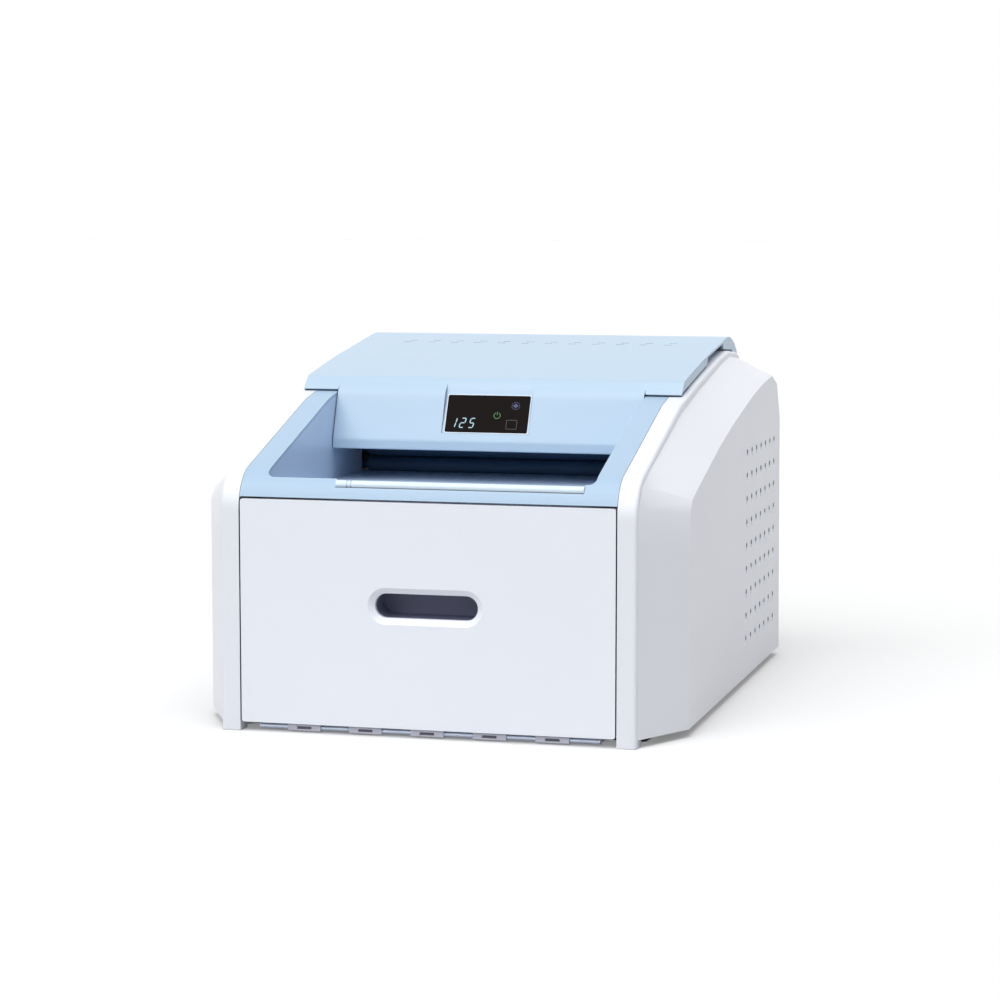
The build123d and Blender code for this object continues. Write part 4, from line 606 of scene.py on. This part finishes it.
# %% Rounded shells
shell_rounds = {
    # piece: width of the round in mm, least angle in degrees and least length in mm
    "left_trim_frame": (0.9, 32, 6), "right_trim_frame": (0.9, 32, 6),
    "drawer_front_panel": (1.2, 32, 5), "handle_cup": (0.6, 32, 2),
    "exit_tray_bezel": (1.6, 30, 4), "exit_tray_pan": (0.8, 32, 4), "rear_cover": (0.6, 32, 8),
    "film_stop_bar": (0.3, 32, 0), "front_sill_rail": (0.4, 32, 2), "sill_rod": (0.2, 32, 0),
}
for node_name, (width, angle, length) in shell_rounds.items():
    bevelled(node_name, width * mm, segments=3, least_angle=angle, least_length=length * mm)

# %% Covers with a soft slope and a crisp crease
soft_from = 205.0
crisp_beside_flat = 5.0
crisp_elsewhere = 40.0
flat_side_share = 0.99


def soft_slope(node_name):
    """Copy of a cover whose slope is shaded as one curve, but whose flat side stays crisp."""
    piece = new_piece(node_name + "_finished", cleaned_copy(node_name))
    with editing(piece.data) as work:
        bmesh.ops.bisect_plane(work, geom=work.verts[:] + work.edges[:] + work.faces[:],
                               plane_co=(0, 0, soft_from * mm), plane_no=(0, 0, 1))
        for face in work.faces:
            face.smooth = True
        for edge in work.edges:
            if len(edge.link_faces) == 2:
                beside_flat = any(abs(face.normal.x) > flat_side_share
                                  for face in edge.link_faces)
                limit = crisp_beside_flat if beside_flat else crisp_elsewhere
                edge.smooth = math.degrees(edge.calc_face_angle(0.0)) < limit
    settle(piece, [node_name], cover_white)


for node_name in ("left_side_cover", "right_side_cover"):
    soft_slope(node_name)

# %% [markdown]
# ## The lid, one skin with its apron
# On the real machine the lid's front lip runs without a seam into the apron that carries the
# display; only its two ears end above the white slopes. Two boxes would show a joint there. So
# the skin is laid out as a grid: its rows follow the side view, with every fold as an arc, and its
# columns run across. The ears simply have fewer rows. Solidify gives it its wall.

# %% Lid outline
def at(x, y, z):
    """Place from x across, y back from the front face and z up, all in millimetres."""
    return Vector((x * mm, y * mm - half_depth, z * mm))


def rounded_path(corners, step_degrees=9.0, support=3.0):
    """Points along an open path of (y, z, radius), with arcs, and support points where they fit."""
    path = [Vector(corners[0][:2])]
    for before, corner, after in zip(corners, corners[1:], corners[2:]):
        here, radius = Vector(corner[:2]), corner[2]
        back = (Vector(before[:2]) - here).normalized()
        ahead = (Vector(after[:2]) - here).normalized()
        turn = math.pi - back.angle(ahead)
        if radius == 0 or turn < 0.001:
            path.append(here)
            continue
        reach = radius * math.tan(turn / 2)
        centre = here + (back + ahead).normalized() * (radius / math.cos(turn / 2))
        first, last = here + back * reach, here + ahead * reach
        steps = max(2, math.ceil(math.degrees(turn) / step_degrees))
        if (Vector(before[:2]) - first).length > 3 * support:
            path.append(first + back * support)
        for index in range(steps + 1):
            share = index / steps
            spoke = (first - centre).slerp(last - centre, share).normalized()
            path.append(centre + spoke * radius)
        if (Vector(after[:2]) - last).length > 3 * support:
            path.append(last + ahead * support)
    path.append(Vector(corners[-1][:2]))
    return path


lid_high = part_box("top_cover")[1]
lid_half = lid_high.x / mm
apron_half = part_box("control_housing")[1].x / mm
ridge = lid_high.z / mm
lid_end_y = (lid_high.y + half_depth) / mm
lip_low = Vector((262.0, 348.0))
fold = (277.6, 362.2)
apron_top = (259.0, 347.0)
apron_fold = (238.6, 293.0)
apron_low = (238.2, 282.2)
apron_rear_y = 297.0
apron_path = rounded_path([(apron_rear_y, 288.6, 0), (*apron_low, 1.6), (*apron_fold, 12.0),
                           (*apron_top, 24.0), (*fold, 0)])[:-1]
top_path = rounded_path([(*apron_top, 0), (*fold, 9.0), (376.0, 378.0, 300.0),
                         (504.0, 394.5, 200.0), (570.0, 402.5, 100.0), (lid_end_y, 377.5, 0),
                         (lid_end_y, 375.5, 0)])[1:]
lip_row = len(apron_path) - 1
skin_rows = apron_path + top_path
print("skin rows", len(skin_rows), "lid half width", round(lid_half, 1))

# %% Lid skin
ear_from = apron_half + 0.5
columns = [-lid_half, -lid_half + 4.0, -apron_half - 4.0, -apron_half - 1.0, -apron_half,
           -apron_half + 3.0, 0.0, apron_half - 3.0, apron_half, apron_half + 1.0,
           apron_half + 4.0, lid_half - 4.0, lid_half]
# lower edge of each side skirt, front to back, with the long hand notch in it
skirt_low = [(268.0, 350.0), (412.0, 373.0), (416.0, 381.2), (513.0, 392.2), (515.0, 385.5),
             (566.0, 382.4), (590.0, 375.5)]


def skin_column(work, x):
    """Vertices of one column by row; an ear's column starts at the lip."""
    ear = abs(x) > ear_from
    column = {}
    for row, (y, z) in enumerate(skin_rows):
        if ear and row == lip_row:
            y, z = lip_low
        if not ear or row >= lip_row:
            column[row] = work.verts.new(at(x, y, z))
    return column


lid_mesh = bpy.data.meshes.new("lid_skin")
with editing(lid_mesh) as work:
    grid = [skin_column(work, x) for x in columns]
    for left, right in zip(grid, grid[1:]):
        for row in range(len(skin_rows) - 1):
            corners = [left.get(row), right.get(row), right.get(row + 1), left.get(row + 1)]
            if None not in corners:
                work.faces.new(corners)
    for column, x in ((grid[0], -lid_half), (grid[-1], lid_half)):
        upper = [column[row] for row in sorted(column)]
        lower = [work.verts.new(at(x, y, z)) for y, z in skirt_low]
        work.faces.new(upper[::-1] + lower if x > 0 else upper + lower[::-1])
    bmesh.ops.recalc_face_normals(work, faces=work.faces)
    widest = max(work.faces, key=lambda face: face.calc_area())
    if widest.normal.z < 0:
        bmesh.ops.reverse_faces(work, faces=work.faces)
print("open skin", len(lid_mesh.polygons), "faces")

# %% Lid wall and rounds
lid_shell = new_piece("lid_shell", lid_mesh)
wall = lid_shell.modifiers.new("wall", "SOLIDIFY")
wall.thickness = 2.6 * mm
wall.offset = -1.0
wall.use_even_offset = True
finished_mesh(lid_shell)
round_edges(lid_shell, 1.1 * mm, segments=3, least_angle=34, least_length=1.5 * mm)
print("lid skin", len(lid_shell.data.polygons), "faces")

# %% [markdown]
# ## Where the display sits
# The window lies in a pocket that leans back a little more than the apron does. So the pocket is
# shallow below the window and deep above it, where it cuts a shaded wedge out of the lip. It could
# be drawn on, but a cut with real walls gives the thin shadow line on its left. The apron's plane is
# read from the construction's own window.

# %% Pocket plane
same_way = 0.999


def flat_side(node_name, facing):
    """Centre, up and outward direction of the flat side of a solid that faces a way."""
    mesh = frame["nodes"][node_name].data
    best = max(mesh.polygons, key=lambda face: face.normal.dot(facing))
    outward = best.normal.copy()
    faces = [face for face in mesh.polygons if face.normal.dot(outward) > same_way]
    area = sum(face.area for face in faces)
    centre = sum((face.center * face.area for face in faces), Vector()) / area
    return centre, outward.cross(Vector((1, 0, 0))), outward


window_sunk = 0.8
window_half_width = 48.0
window_half_height = 22.75
pocket_half = 51.0
pocket_low = -24.2
pocket_sill = 0.9
pocket_tilt = math.radians(5.4)
window_centre, up_face, out_face = flat_side("display_window", Vector((0, -1, 0.3)))
up_pocket = up_face * math.cos(pocket_tilt) - out_face * math.sin(pocket_tilt)
out_pocket = out_face * math.cos(pocket_tilt) + up_face * math.sin(pocket_tilt)
pocket_foot = window_centre + (out_face * (window_sunk - pocket_sill) + up_face * pocket_low) * mm
pocket_middle = pocket_foot - up_pocket * pocket_low * mm
print("apron leans back", round(math.degrees(math.asin(out_face.z)), 1), "degrees, pocket",
      round(math.degrees(math.asin(out_pocket.z)), 1))

# %% Slabs and prisms
tool_reach = 20.0


def in_pocket(u, v, w):
    """Place by the pocket's floor: u across, v up from the window's middle, w out of it, in mm."""
    return pocket_middle + Vector((u * mm, 0, 0)) + up_pocket * v * mm + out_pocket * w * mm


def closed_between(name, first_ring, second_ring):
    """Closed piece between two matching rings of places."""
    mesh = bpy.data.meshes.new(name)
    with editing(mesh) as work:
        first = [work.verts.new(place) for place in first_ring]
        second = [work.verts.new(place) for place in second_ring]
        work.faces.new(first[::-1])
        work.faces.new(second)
        for index in range(len(first)):
            following = (index + 1) % len(first)
            work.faces.new([first[index], first[following], second[following], second[index]])
        bmesh.ops.recalc_face_normals(work, faces=work.faces)
    return new_piece(name, mesh)


def slab(name, outline, low, high):
    """Closed slab in the pocket over an outline of (u, v), between two depths."""
    return closed_between(name, [in_pocket(u, v, low) for u, v in outline],
                          [in_pocket(u, v, high) for u, v in outline])


def side_prism(name, profile, first_x, last_x):
    """Closed prism across x over a side view of (y, z) points."""
    return closed_between(name, [at(first_x, y, z) for y, z in profile],
                          [at(last_x, y, z) for y, z in profile])


print("pocket floor starts", round(in_pocket(0, pocket_low, 0).z / mm, 1), "mm up")

# %% Outlines of the window
def round_rectangle(half_width, half_height, radius, steps=6):
    """Outline of a rectangle with round corners, anticlockwise."""
    ring = []
    for turn, (side, rise) in enumerate(((1, 1), (-1, 1), (-1, -1), (1, -1))):
        middle_u = side * (half_width - radius)
        middle_v = rise * (half_height - radius)
        for index in range(steps + 1):
            angle = math.pi / 2 * (turn + index / steps)
            ring.append((middle_u + radius * math.cos(angle), middle_v + radius * math.sin(angle)))
    return ring


def grown_window(by, radius):
    """The window's outline made larger all round."""
    return round_rectangle(window_half_width + by, window_half_height + by, radius)


print("window outline has", len(grown_window(0.0, 2.0)), "points")

# %% Pocket cut
pocket_reach = 60.0


def cut_away(piece, cutter):
    """Takes one closed mesh out of another, for good."""
    cut = piece.modifiers.new("cut", "BOOLEAN")
    cut.operation = "DIFFERENCE"
    cut.solver = "EXACT"
    cut.object = cutter
    finished_mesh(piece)
    bpy.data.objects.remove(cutter)


pocket_outline = [(-pocket_half, pocket_low), (pocket_half, pocket_low),
                  (pocket_half, pocket_reach), (-pocket_half, pocket_reach)]
cut_away(lid_shell, slab("pocket_tool", pocket_outline, 0.0, 2 * tool_reach))
print("lid skin with its pocket", len(lid_shell.data.polygons), "faces")

# %% Pocket floor
plate_thickness = 1.0
plate_sunk = 0.02
wall_width = 1.6


def side_view(place):
    """The (y, z) of a place, in millimetres from the front face."""
    return Vector(((place.y + half_depth) / mm, place.z / mm))


def lip_meets_pocket():
    """How far up from the window's middle the pocket's floor runs before it meets the lip."""
    lip_run = Vector(fold) - Vector(apron_top)
    run = Vector((up_pocket.y, up_pocket.z))
    offset = Vector(apron_top) - side_view(in_pocket(0, 0, 0))
    return offset.cross(lip_run) / run.cross(lip_run)


floor_below_lip = 0.8
pocket_high = lip_meets_pocket() - floor_below_lip
plate_half = pocket_half + wall_width
plate_low = pocket_low - wall_width
plate_outline = [(-plate_half, plate_low), (plate_half, plate_low), (plate_half, pocket_high),
                 (-plate_half, pocket_high)]
pocket_floor = slab("pocket_floor", plate_outline, -plate_thickness, -plate_sunk)
cut_away(pocket_floor, slab("window_tool", grown_window(by=0.0, radius=2.0), -tool_reach,
                            tool_reach))
print("pocket floor runs", round(pocket_high - pocket_low, 1), "mm up")

# %% Pocket walls
wall_under_floor = 0.5
wall_under_skin = 0.3
clear_low = 1.5
clear_high = 0.5


def wall_profile():
    """Region between the pocket's floor and the skin, seen from the side."""
    low = side_view(in_pocket(0, pocket_low, -wall_under_floor))
    high = side_view(in_pocket(0, pocket_high, -wall_under_floor))
    inward = -Vector((out_face.y, out_face.z)) * wall_under_skin
    skin = [point + inward for point in skin_rows
            if low.y + clear_low < point.y < high.y - clear_high
            and point.x < high.x - clear_high]
    return [low] + skin + [high]


pocket_walls = [side_prism("pocket_wall", wall_profile(), side * (pocket_half + 0.05),
                           side * (pocket_half + wall_width)) for side in (-1, 1)]
print("pocket wall outline has", len(wall_profile()), "points")

# %% Tool for the lid's slots
def new_tree(name, inputs):
    """Geometry tree that takes a shape and named inputs, and gives a shape."""
    made = bpy.data.node_groups.new(name, "GeometryNodeTree")
    add_sockets(made, "OUTPUT", {"Geometry": "NodeSocketGeometry"})
    add_sockets(made, "INPUT", {"Geometry": "NodeSocketGeometry", **inputs})
    print("tree", name, "with inputs", list(inputs))
    return made, add_node(made, "NodeGroupInput").outputs


slot_tree, given = new_tree(
    "lid_slot_tools", {"Length": 9.0 * mm, "Width": 2.2 * mm, "Depth": 12.0 * mm})
size = add_node(slot_tree, "ShaderNodeCombineXYZ",
                {"X": given["Length"], "Y": given["Width"], "Z": given["Depth"]})
cube = add_node(slot_tree, "GeometryNodeMeshCube", {"Size": size.outputs[0]})
copies = add_node(slot_tree, "GeometryNodeInstanceOnPoints",
                  {"Points": given["Geometry"], "Instance": cube.outputs["Mesh"]})
real = add_node(slot_tree, "GeometryNodeRealizeInstances", {"Geometry": copies.outputs[0]})
paint = add_node(slot_tree, "GeometryNodeSetMaterial",
                 {"Geometry": real.outputs[0], "Material": lid_blue})
add_node(slot_tree, "NodeGroupOutput", {"Geometry": paint.outputs[0]})

# %% Cut the lid's slots
slot_count = 12
slot_pitch = 29.0
slot_rows = (478.0, 488.0)


def run_tree(piece, made, **values):
    """Runs a geometry tree on a piece with its inputs set, and keeps the plain mesh."""
    modifier = piece.modifiers.new(made.name, "NODES")
    modifier.node_group = made
    for socket in made.interface.items_tree:
        key = socket.name.replace(" ", "_")
        if socket.in_out == "INPUT" and key in values:
            modifier[socket.identifier] = values[key]
    finished_mesh(piece)


def skin_height(y):
    """Height of the lid's skin at a distance back."""
    for first, second in zip(top_path, top_path[1:]):
        if first.x <= y <= second.x:
            return first.y + (second.y - first.y) * (y - first.x) / (second.x - first.x)
    return ridge


def slot_place(row, index):
    """Middle of one slot; the rear row stands a sixth of the pitch to the right."""
    x = (index - (slot_count - 1) / 2) * slot_pitch + row * slot_pitch / 6
    return at(x, slot_rows[row], skin_height(slot_rows[row]))


slot_places = bpy.data.meshes.new("slot_places")
slot_places.from_pydata([slot_place(row, index) for row in range(len(slot_rows))
                         for index in range(slot_count)], [], [])
slot_tool = new_piece("slot_tool", slot_places)
run_tree(slot_tool, slot_tree, Length=9 * mm, Width=2.2 * mm, Depth=12 * mm)
cut_away(lid_shell, slot_tool)
smooth_by_angle(lid_shell.data)
settle(lid_shell, ["top_cover", "control_housing"], lid_blue)

# %% Housing ends and pocket
end_wall = 2.5
end_under_skin = 0.05
end_inside_skin = 0.06


def joined_pieces(name, pieces):
    """One piece from several closed ones."""
    mesh = bpy.data.meshes.new(name)
    with editing(mesh) as work:
        for part in pieces:
            work.from_mesh(part.data)
    for part in pieces:
        bpy.data.objects.remove(part)
    smooth_by_angle(mesh)
    return new_piece(name, mesh)


under_lip = [Vector((264.0, 346.0)), Vector((281.0, 359.0)), Vector((apron_rear_y, 361.5))]
end_profile = [point + Vector((end_under_skin, 0.0)) for point in apron_path[:-2]] + under_lip
ends = [side_prism("housing_end", end_profile, side * (apron_half - end_inside_skin),
                   side * (apron_half - end_wall)) for side in (-1, 1)]
housing_inside = joined_pieces("housing_inside", ends + pocket_walls + [pocket_floor])
add_on(housing_inside, "control_housing", lid_blue)

# %% [markdown]
# ## Display
# Behind smoked glass the real machine lights a three-digit film counter, a green standby sign and
# two blue and grey signs. They could be one glowing picture; here each is a thin plate on the glass,
# so their edges stay crisp. Only plain digits and plain signs are drawn.

# %% Glass and its rim
glass_front = 0.25
glass_thickness = 1.5
glass = slab("display_glass", grown_window(by=-0.3, radius=1.8), glass_front - glass_thickness,
             glass_front)
round_edges(glass, 0.3 * mm)
settle(glass, ["display_window"], smoked_glass)
# The rim is paler than the lid blue: a painted highlight round the window's edge.
rim_foot = -0.2
rim_stand = 0.15
rim = slab("window_rim", grown_window(by=0.9, radius=2.6), rim_foot, glass_front + rim_stand)
cut_away(rim, slab("rim_tool", grown_window(by=-0.25, radius=1.9), -tool_reach, tool_reach))
round_edges(rim, 0.2 * mm)
add_on(rim, "control_housing", finish("rim_white", colour(214, 226, 238), roughness=0.25))

# %% Lights of the signs
def glowing(name, base, light, strength):
    """Finish of a lit sign: its colour, and its own steady light."""
    return finish(name, base, roughness=0.4, bump=0.0, Emission_Color=light,
                  Emission_Strength=strength)


digit_light = glowing("digit_light", colour(60, 80, 90), colour(188, 230, 244), 0.78)
standby_green = glowing("standby_green", colour(20, 50, 24), colour(50, 158, 66), 0.5)
sign_blue = glowing("sign_blue", colour(24, 26, 60), colour(74, 84, 160), 0.5)
sign_pale = glowing("sign_pale", colour(50, 54, 90), colour(140, 150, 212), 0.55)
sign_grey = finish("sign_grey", colour(62, 56, 52), roughness=0.5)
print(len(bpy.data.materials), "materials with the signs")

# %% Film counter digits
sign_low = glass_front + 0.02
sign_high = glass_front + 0.12
digit_height = 11.2
digit_width = 5.0
digit_slant = 0.24
digit_stroke = 1.05
digit_gap = 0.25
digit_low = -16.65
digit_starts = (-42.0, -31.6, -21.0)
segment_ends = {
    "a": ((0, 1), (1, 1)), "b": ((1, 1), (1, 0.5)), "c": ((1, 0.5), (1, 0)),
    "d": ((0, 0), (1, 0)), "e": ((0, 0.5), (0, 0)), "f": ((0, 1), (0, 0.5)),
    "g": ((0, 0.5), (1, 0.5)),
}
digit_segments = ("bc", "abged", "afgcd")


def sign_piece(name, outlines, material):
    """Thin plates on the glass over several outlines, as one piece."""
    piece = joined_pieces(name, [slab(name, outline, sign_low, sign_high) for outline in outlines])
    add_on(piece, "display_window", material)


def bar(start, end, width):
    """Outline of a straight bar with pointed ends."""
    first, last = Vector(start), Vector(end)
    along = (last - first).normalized()
    aside = Vector((-along.y, along.x)) * width / 2
    tip = along * width / 2
    points = [first, first + tip + aside, last - tip + aside, last, last - tip - aside,
              first + tip - aside]
    return [tuple(point) for point in points][::-1]


digit_bars = []
for left, letters in zip(digit_starts, digit_segments):
    for letter in letters:
        first, last = (Vector((left + u * digit_width + v * digit_height * digit_slant,
                               digit_low + v * digit_height)) for u, v in segment_ends[letter])
        gap = (last - first).normalized() * digit_gap
        digit_bars.append(bar(first + gap, last - gap, digit_stroke))
sign_piece("film_counter_digits", digit_bars, digit_light)

# %% Round and square signs
def ring_arc(centre, radius, width, from_degrees, to_degrees, steps=28):
    """Outline of part of a ring."""
    outline = []
    for reach, order in ((radius + width / 2, 1), (radius - width / 2, -1)):
        for index in range(steps + 1)[::order]:
            angle = math.radians(from_degrees + (to_degrees - from_degrees) * index / steps)
            outline.append((centre[0] + reach * math.cos(angle), centre[1] + reach * math.sin(angle)))
    return outline


def petal(centre, quarter):
    """One of four short bars round a centre."""
    angle = math.radians(90 * quarter)
    return bar(*((centre[0] + reach * math.cos(angle), centre[1] + reach * math.sin(angle))
                 for reach in (0.5, 2.7)), 1.2)


standby = (11.1, -1.65)
standby_stroke = 0.7
standby_bar = bar((standby[0], standby[1] + 0.4), (standby[0], standby[1] + 4.8), standby_stroke)
sign_piece("standby_sign", [ring_arc(standby, radius=3.6, width=standby_stroke, from_degrees=118,
                                     to_degrees=422), standby_bar], standby_green)
cross = (31.4, 10.35)
arc_turn = 45
arc_gap = 5
sign_piece("cross_ring", [ring_arc(cross, radius=4.4, width=0.5, from_degrees=arc_turn * arc + arc_gap,
                                   to_degrees=arc_turn * (arc + 1) - arc_gap, steps=6)
                          for arc in range(8)], sign_blue)
sign_piece("cross_petals", [petal(cross, quarter) for quarter in range(4)], sign_pale)
box_corners = [(22.8, -17.65), (34.8, -17.65), (34.8, -6.85), (22.8, -6.85)]
sign_piece("square_sign", [bar(start, end, 0.5) for start, end in
                           zip(box_corners, box_corners[1:] + box_corners[:1])], sign_grey)

# %% [markdown]
# ## Louvres behind the vent holes
# Each vent in the side covers is a small upright obround. Seen from outside its top is dark and its
# lower part catches the light, because a slanted louvre closes the hole from its lower edge. The
# louvre is also painted a brighter white than the cover, a painted highlight, and the hole's upper
# walls carry painted shade. One louvre could be copied 126 times by hand. A Geometry Nodes tree lays
# them on a grid instead, so the count, the pitch and the slant stay single numbers.

# %% Louvre tree
louvre_tree, given = new_tree("louvre_field", {
    "Columns": 7, "Rows": 9, "Field Length": 186.6 * mm, "Field Height": 217.6 * mm,
    "Width": 7.9 * mm, "Height": 11.9 * mm, "Round": 3.9 * mm, "Thickness": 0.6 * mm,
    "Stand": "NodeSocketRotation", "Lean": "NodeSocketRotation", "Middle": (0, 0, 0),
    "Material": "NodeSocketMaterial"})
shape = add_node(louvre_tree, "GeometryNodeCurvePrimitiveQuadrilateral",
                 {"Width": given["Width"], "Height": given["Height"]})
soft = add_node(louvre_tree, "GeometryNodeFilletCurve",
                {"Curve": shape.outputs["Curve"], "Radius": given["Round"], "Count": 4}, mode="POLY")
plate = add_node(louvre_tree, "GeometryNodeFillCurve", {"Curve": soft.outputs["Curve"]})
thick = add_node(louvre_tree, "GeometryNodeExtrudeMesh",
                 {"Mesh": plate.outputs["Mesh"], "Offset Scale": given["Thickness"],
                  "Individual": False})
turned = add_node(louvre_tree, "GeometryNodeTransform",
                  {"Geometry": thick.outputs["Mesh"], "Rotation": given["Lean"]})
places = add_node(louvre_tree, "GeometryNodeMeshGrid",
                  {"Vertices X": given["Columns"], "Vertices Y": given["Rows"],
                   "Size X": given["Field Length"], "Size Y": given["Field Height"]})
copies = add_node(louvre_tree, "GeometryNodeInstanceOnPoints",
                  {"Points": places.outputs["Mesh"], "Instance": turned.outputs["Geometry"]})
stood = add_node(louvre_tree, "GeometryNodeTransform",
                 {"Geometry": copies.outputs["Instances"], "Rotation": given["Stand"],
                  "Translation": given["Middle"]})
real = add_node(louvre_tree, "GeometryNodeRealizeInstances", {"Geometry": stood.outputs["Geometry"]})
paint = add_node(louvre_tree, "GeometryNodeSetMaterial",
                 {"Geometry": real.outputs["Geometry"], "Material": given["Material"]})
add_node(louvre_tree, "NodeGroupOutput", {"Geometry": paint.outputs["Geometry"]})

# %% Louvres on both sides
vent_columns = 7
vent_rows = 9
vent_pitch_y = 31.1
vent_pitch_z = 27.2
vent_first_y = 422.0
vent_top_z = 269.7
louvre_lean = 14.0
louvre_sink = 2.1
louvre_drop = 0.3
field_length = (vent_columns - 1) * vent_pitch_y
field_height = (vent_rows - 1) * vent_pitch_z
quarter_turn = math.radians(90)
# Painted highlight: the louvres are a brighter white than the covers.
louvre_white = finish("louvre_white", colour(252, 252, 253), roughness=0.16, tone=0.0, bump=0.02)
for side, hand in ((1, "right"), (-1, "left")):
    name = hand + "_vent_louvres"
    louvres = new_piece(name, bpy.data.meshes.new(name))
    middle = at(side * (cad_box[1][0] / mm - louvre_sink), vent_first_y + field_length / 2,
                vent_top_z - field_height / 2 - louvre_drop)
    run_tree(louvres, louvre_tree, Columns=vent_columns, Rows=vent_rows,
             Field_Length=field_length * mm, Field_Height=field_height * mm,
             Width=7.9 * mm, Height=11.9 * mm, Round=3.9 * mm, Thickness=0.6 * mm,
             Stand=(quarter_turn, 0.0, quarter_turn),
             Lean=(math.radians(-side * louvre_lean), 0.0, 0.0), Middle=tuple(middle),
             Material=louvre_white)
    with editing(louvres.data) as work:
        bmesh.ops.recalc_face_normals(work, faces=work.faces)
    add_on(louvres, hand + "_side_cover", louvre_white)

# %% [markdown]
# ## Sill details
# The five lugs under the door have a slot each, whose bottom lies in shade. A dark strip at the
# bottom of each slot keeps it dark from every side.

# %% Slot strips
lug_count = 5
lug_pitch = 67.8
strip_half = 7.6
strip_outline = [(6.9, 3.7), (7.3, 3.7), (7.3, 6.3), (6.9, 6.3)]
lug_places = [(index - (lug_count - 1) / 2) * lug_pitch for index in range(lug_count)]
slot_strips = joined_pieces("lug_slot_shades", [
    side_prism("slot_strip", strip_outline, x - strip_half, x + strip_half) for x in lug_places])
add_on(slot_strips, "front_sill_rail", slot_shade)

# %% [markdown]
# ## The inner pieces
# Gears, rollers, rails and boards show when the drawer or the lid is open. They get the same narrow
# rounds, so that turned parts look turned and folded sheet looks folded.

# %% Round the rest
inner_rounds = {
    # piece: width of the round in mm
    "heat_drum": 0.8, "drum_hood": 0.5, "exit_roller": 0.4, "exit_pinch_roller": 0.4,
    "feed_roller": 0.4, "feed_pinch_roller": 0.4, "pickup_roller": 0.5, "film_tray_pan": 0.5,
    "film_side_guides": 0.3, "film_lift_plate": 0.3, "film_guide_plates": 0.3,
    "left_outer_rail": 0.3, "right_outer_rail": 0.3, "left_middle_rail": 0.3,
    "right_middle_rail": 0.3, "left_inner_rail": 0.3, "right_inner_rail": 0.3,
    "left_side_frame": 0.3, "right_side_frame": 0.3, "cross_deck": 0.4, "base_plate": 0.4,
    "laser_housing": 0.9, "polygon_motor": 0.5, "polygon_mirror": 0.2, "laser_diode": 0.5,
    "scan_lens": 0.4, "main_board": 0.2, "display_board": 0.2, "power_supply": 0.6,
    "drive_motor": 0.6, "feed_motor": 0.6, "lid_hinge_arms": 0.4, "lid_hinge_pins": 0.3,
    "fan_frame": 0.8, "fan_rotor": 0.3, "power_inlet": 0.4, "power_rocker": 0.3,
    "network_port": 0.3, "rubber_feet": 0.6, "rear_cover_screws": 0.4, "roller_bushes": 0.3,
    "drum_gear": 0.1, "idler_gear": 0.1, "exit_gear": 0.1, "motor_pinion": 0.1,
}
inner_pieces = {name: bevelled(name, width * mm, segments=2, least_angle=40,
                               least_length=1.0 * mm)
                for name, width in inner_rounds.items()}
print(len(inner_pieces), "inner pieces rounded")

# %% Room for the glass in the display board
room_behind_glass = 1.35
room_outline = round_rectangle(half_width=60, half_height=40, radius=1)
cut_away(inner_pieces["display_board"],
         slab("glass_room", room_outline, -room_behind_glass, tool_reach))
print("display board", len(inner_pieces["display_board"].data.polygons), "faces")
